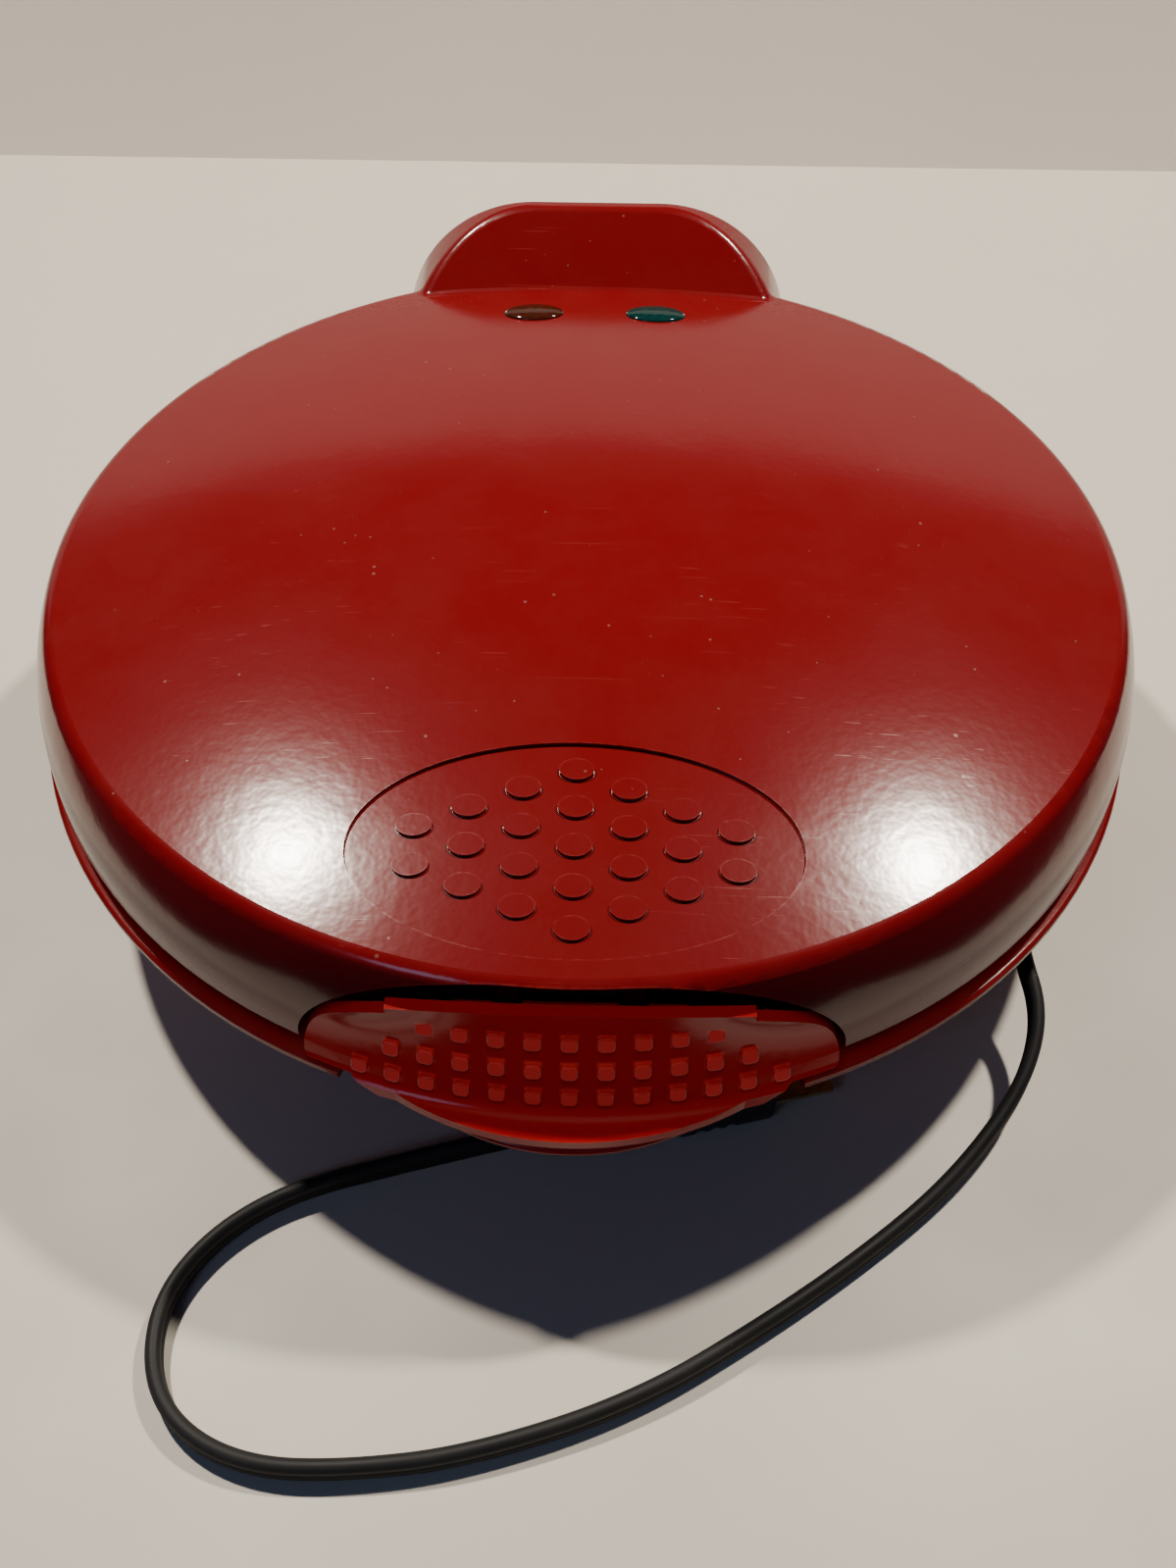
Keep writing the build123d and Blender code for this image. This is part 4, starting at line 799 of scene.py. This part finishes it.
class COOKER_OT_mouldings(bpy.types.Operator):
    """Finishes the black mouldings, the rubber pieces, the cord and the plug"""

    bl_idname = "cooker.mouldings"
    bl_label = "Black mouldings"

    def execute(self, context):
        colours = settings().finish
        moulding = Finish("black_moulding", colours.black, specular_ior_level=0.45)
        grain = moulding.group("fine_grain", "Height", scale=1700.0, depth=0.03)
        tone = moulding.group("fine_grain", "Tone", scale=900.0, depth=0.0)
        scratches = moulding.group("fine_scratches", "Mask", scale=900.0, amount=0.5)
        wear = moulding.group("edge_wear", "Mask", radius=0.0005, amount=0.5)
        moulding.tint(tone, (0.024, 0.024, 0.025), share=0.5)
        moulding.tint(maths(moulding.tree, "MAXIMUM", scratches, wear), (0.06, 0.06, 0.062))
        moulding.rough(0.44, (tone, 0.12), (scratches, -0.1))
        moulding.bump(grain)
        dress(moulding, "bottom_cover", "terminal_block", "lamp_bracket")

        rubber = Finish("soft_rubber", colours.black, specular_ior_level=0.35)
        tone = rubber.group("fine_grain", "Tone", scale=700.0, depth=0.0)
        dust = rubber.group("settled_dust", "Mask", scale=420.0, specks=0.6, film=0.16)
        rubber.tint(tone, (0.028, 0.027, 0.026), share=0.5)
        rubber.tint(dust, colours.dust)
        rubber.rough(0.62, (tone, 0.14), (dust, 0.3))
        rubber.bump(rubber.group("fine_grain", "Height", scale=1100.0, depth=0.05))
        dress(rubber, "rubber_feet", "strain_relief")

        jacket = Finish("cord_jacket", colours.black, specular_ior_level=0.25)
        tone = jacket.group("slow_drift", "Tone", scale=60.0)
        dust = jacket.group("settled_dust", "Mask", scale=520.0, specks=0.25, film=0.01)
        scuff = jacket.group("fine_scratches", "Mask", scale=1400.0, amount=0.7)
        jacket.tint(tone, (0.019, 0.019, 0.021), share=0.6)
        jacket.tint(scuff, (0.03, 0.03, 0.032))
        jacket.tint(dust, colours.dust)
        jacket.rough(0.50, (tone, 0.10), (dust, 0.4), (scuff, 0.2))
        jacket.bump(jacket.group("fine_grain", "Height", scale=800.0, depth=0.02))
        bpy.data.objects["cord"].data.materials.append(jacket.material)
        dress(jacket, "cord_tails")

        plastic = Finish("plug_plastic", colours.black)
        tone = plastic.group("fine_grain", "Tone", scale=900.0, depth=0.0)
        wear = plastic.group("edge_wear", "Mask", radius=0.0006, amount=0.5)
        dust = plastic.group("settled_dust", "Mask", scale=420.0, specks=0.4, film=0.06)
        plastic.tint(tone, (0.022, 0.022, 0.023), share=0.5)
        plastic.tint(wear, (0.06, 0.06, 0.06))
        plastic.tint(dust, colours.dust)
        plastic.rough(0.38, (tone, 0.10), (dust, 0.3))
        plastic.bump(plastic.group("fine_grain", "Height", scale=1400.0, depth=0.03))
        bpy.data.objects["plug"].data.materials.append(plastic.material)
        return {"FINISHED"}


class COOKER_OT_metals(bpy.types.Operator):
    """Finishes the plates, the heaters, the pins, the heat shields, the screws and the blades"""

    bl_idname = "cooker.metals"
    bl_label = "Metals"

    def execute(self, context):
        colours = settings().finish
        coat = Finish("coated_casting", colours.coat)
        grain = coat.group("fine_grain", "Tone", scale=1900.0, depth=0.0)
        drift = coat.group("slow_drift", "Tone", scale=28.0)
        scratches = coat.group("fine_scratches", "Mask", scale=800.0, amount=0.45)
        wear = coat.group("edge_wear", "Mask", radius=0.0009, amount=0.4)
        coat.tint(grain, (0.045, 0.045, 0.047), share=0.4)
        coat.tint(drift, (0.030, 0.022, 0.016), share=0.35)
        coat.tint(maths(coat.tree, "MAXIMUM", scratches, wear), (0.11, 0.11, 0.11))
        coat.rough(0.34, (grain, 0.14), (drift, 0.08), (scratches, -0.08))
        coat.bump(coat.group("fine_grain", "Height", scale=1300.0, depth=0.03))
        dress(coat, "lower_cooking_plate", "upper_cooking_plate")

        heater = Finish("element_steel", (0.20, 0.18, 0.165), metallic=1.0)
        tint = heater.group("slow_drift", "Tone", scale=45.0)
        heater.tint(tint, (0.13, 0.10, 0.11), share=0.7)
        heater.rough(0.36, (tint, 0.2))
        heater.bump(heater.group("fine_grain", "Height", scale=1500.0, depth=0.02))
        dress(heater, "lower_heating_element", "upper_heating_element", "hinge_pins", "latch_pin")

        shield = Finish("shield_steel", (0.60, 0.60, 0.61), metallic=1.0)
        tone = shield.group("slow_drift", "Tone", scale=30.0)
        marks = shield.group("fine_scratches", "Mask", scale=500.0, amount=0.9)
        shield.tint(tone, (0.50, 0.49, 0.47), share=0.5)
        shield.tint(marks, (0.74, 0.74, 0.75))
        shield.rough(0.30, (tone, 0.14), (marks, -0.1))
        shield.bump(shield.group("orange_peel", "Height", scale=110.0, depth=0.05))
        dress(shield, "lower_heat_shield", "upper_heat_shield")

        bright = Finish("screw_steel", colours.steel, metallic=1.0)
        tone = bright.group("slow_drift", "Tone", scale=220.0)
        wear = bright.group("edge_wear", "Mask", radius=0.0003, amount=0.8)
        bright.tint(tone, (0.42, 0.41, 0.39), share=0.5)
        bright.tint(wear, (0.75, 0.74, 0.72))
        bright.rough(0.22, (tone, 0.14))
        dress(
            bright, "bottom_cover_screws", "lower_plate_screws", "upper_plate_screws",
            "terminal_screws",
        )

        brass = Finish("blade_brass", colours.brass, metallic=1.0)
        tone = brass.group("slow_drift", "Tone", scale=160.0)
        marks = brass.group("fine_scratches", "Mask", scale=1800.0, amount=0.9)
        brass.tint(tone, (0.50, 0.37, 0.17), share=0.6)
        brass.tint(marks, (0.80, 0.70, 0.45))
        brass.rough(0.22, (tone, 0.16), (marks, 0.1))
        brass.bump(brass.group("fine_grain", "Height", scale=1600.0, depth=0.006))
        dress(brass, "plug_blades")
        return {"FINISHED"}


class COOKER_OT_wiring(bpy.types.Operator):
    """Finishes the sleeved leads, the fuse and the thermostats"""

    bl_idname = "cooker.wiring"
    bl_label = "Wiring"

    def execute(self, context):
        sleeve = Finish("lead_sleeve", (0.66, 0.63, 0.56), roughness=0.8)
        tree = sleeve.tree
        place = own_place(tree)
        threads = None
        for turn in (0.785, -0.785):
            flat = stretched(tree, place, (0.4, turn, turn), (1.0, 1.0, 1.0))
            wave = node(tree, "ShaderNodeTexWave", {"Vector": flat, "Scale": 260.0}).outputs[1]
            threads = wave if threads is None else maths(tree, "MAXIMUM", threads, wave)
        dark = maths(tree, "SUBTRACT", 1.0, threads)
        sleeve.tint(dark, (0.34, 0.31, 0.26), share=0.6)
        soil = sleeve.group("slow_drift", "Tone", scale=70.0)
        sleeve.tint(soil, (0.48, 0.42, 0.33), share=0.3)
        sleeve.bump(maths(tree, "MULTIPLY", threads, 0.08))
        dress(sleeve, "lower_leads", "upper_leads", "hinge_lead", "thermal_fuse")

        body = Finish("switch_body", (0.075, 0.066, 0.058), specular_ior_level=0.4)
        tone = body.group("fine_grain", "Tone", scale=800.0, depth=0.0)
        wear = body.group("edge_wear", "Mask", radius=0.0003, amount=0.5)
        body.tint(tone, (0.12, 0.105, 0.09), share=0.5)
        body.tint(wear, (0.2, 0.18, 0.16))
        body.rough(0.42, (tone, 0.14))
        body.bump(body.group("fine_grain", "Height", scale=1200.0, depth=0.02))
        dress(body, "lower_thermostat", "upper_thermostat")
        return {"FINISHED"}


class COOKER_PT_panel(bpy.types.Panel):
    """Lists the pieces"""

    bl_label = "Cooker"
    bl_idname = "COOKER_PT_panel"
    bl_space_type = "VIEW_3D"
    bl_region_type = "UI"
    bl_category = "Cooker"

    def draw(self, context):
        for operator in OPERATORS:
            self.layout.operator(operator.bl_idname)


class CookerSettings(bpy.types.PropertyGroup):
    """Everything a user would change."""

    camera: bpy.props.PointerProperty(type=CameraSettings)
    stage: bpy.props.PointerProperty(type=StageSettings)
    cord: bpy.props.PointerProperty(type=CordSettings)
    plug: bpy.props.PointerProperty(type=PlugSettings)
    lens: bpy.props.PointerProperty(type=LensSettings)
    finish: bpy.props.PointerProperty(type=FinishSettings)


GROUPS = (
    CameraSettings, StageSettings, CordSettings, PlugSettings, LensSettings, FinishSettings,
    CookerSettings,
)
OPERATORS = (
    COOKER_OT_camera, COOKER_OT_cord, COOKER_OT_stage, COOKER_OT_housing, COOKER_OT_lenses,
    COOKER_OT_mouldings, COOKER_OT_metals, COOKER_OT_wiring,
)


def register():
    """Registers the classes and hangs the settings on the scene."""
    for group in (*GROUPS, *OPERATORS, COOKER_PT_panel):
        bpy.utils.register_class(group)
    bpy.types.Scene.cooker = bpy.props.PointerProperty(type=CookerSettings)


def unregister():
    """Takes the classes away again."""
    del bpy.types.Scene.cooker
    for group in reversed((*GROUPS, *OPERATORS, COOKER_PT_panel)):
        bpy.utils.unregister_class(group)


def main():
    """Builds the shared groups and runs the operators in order."""
    register()
    for make in GROUP_MAKERS:
        make()
    for operator in OPERATORS:
        group, name = operator.bl_idname.split(".")
        getattr(getattr(bpy.ops, group), name)()


if __name__ == "__main__":
    main()
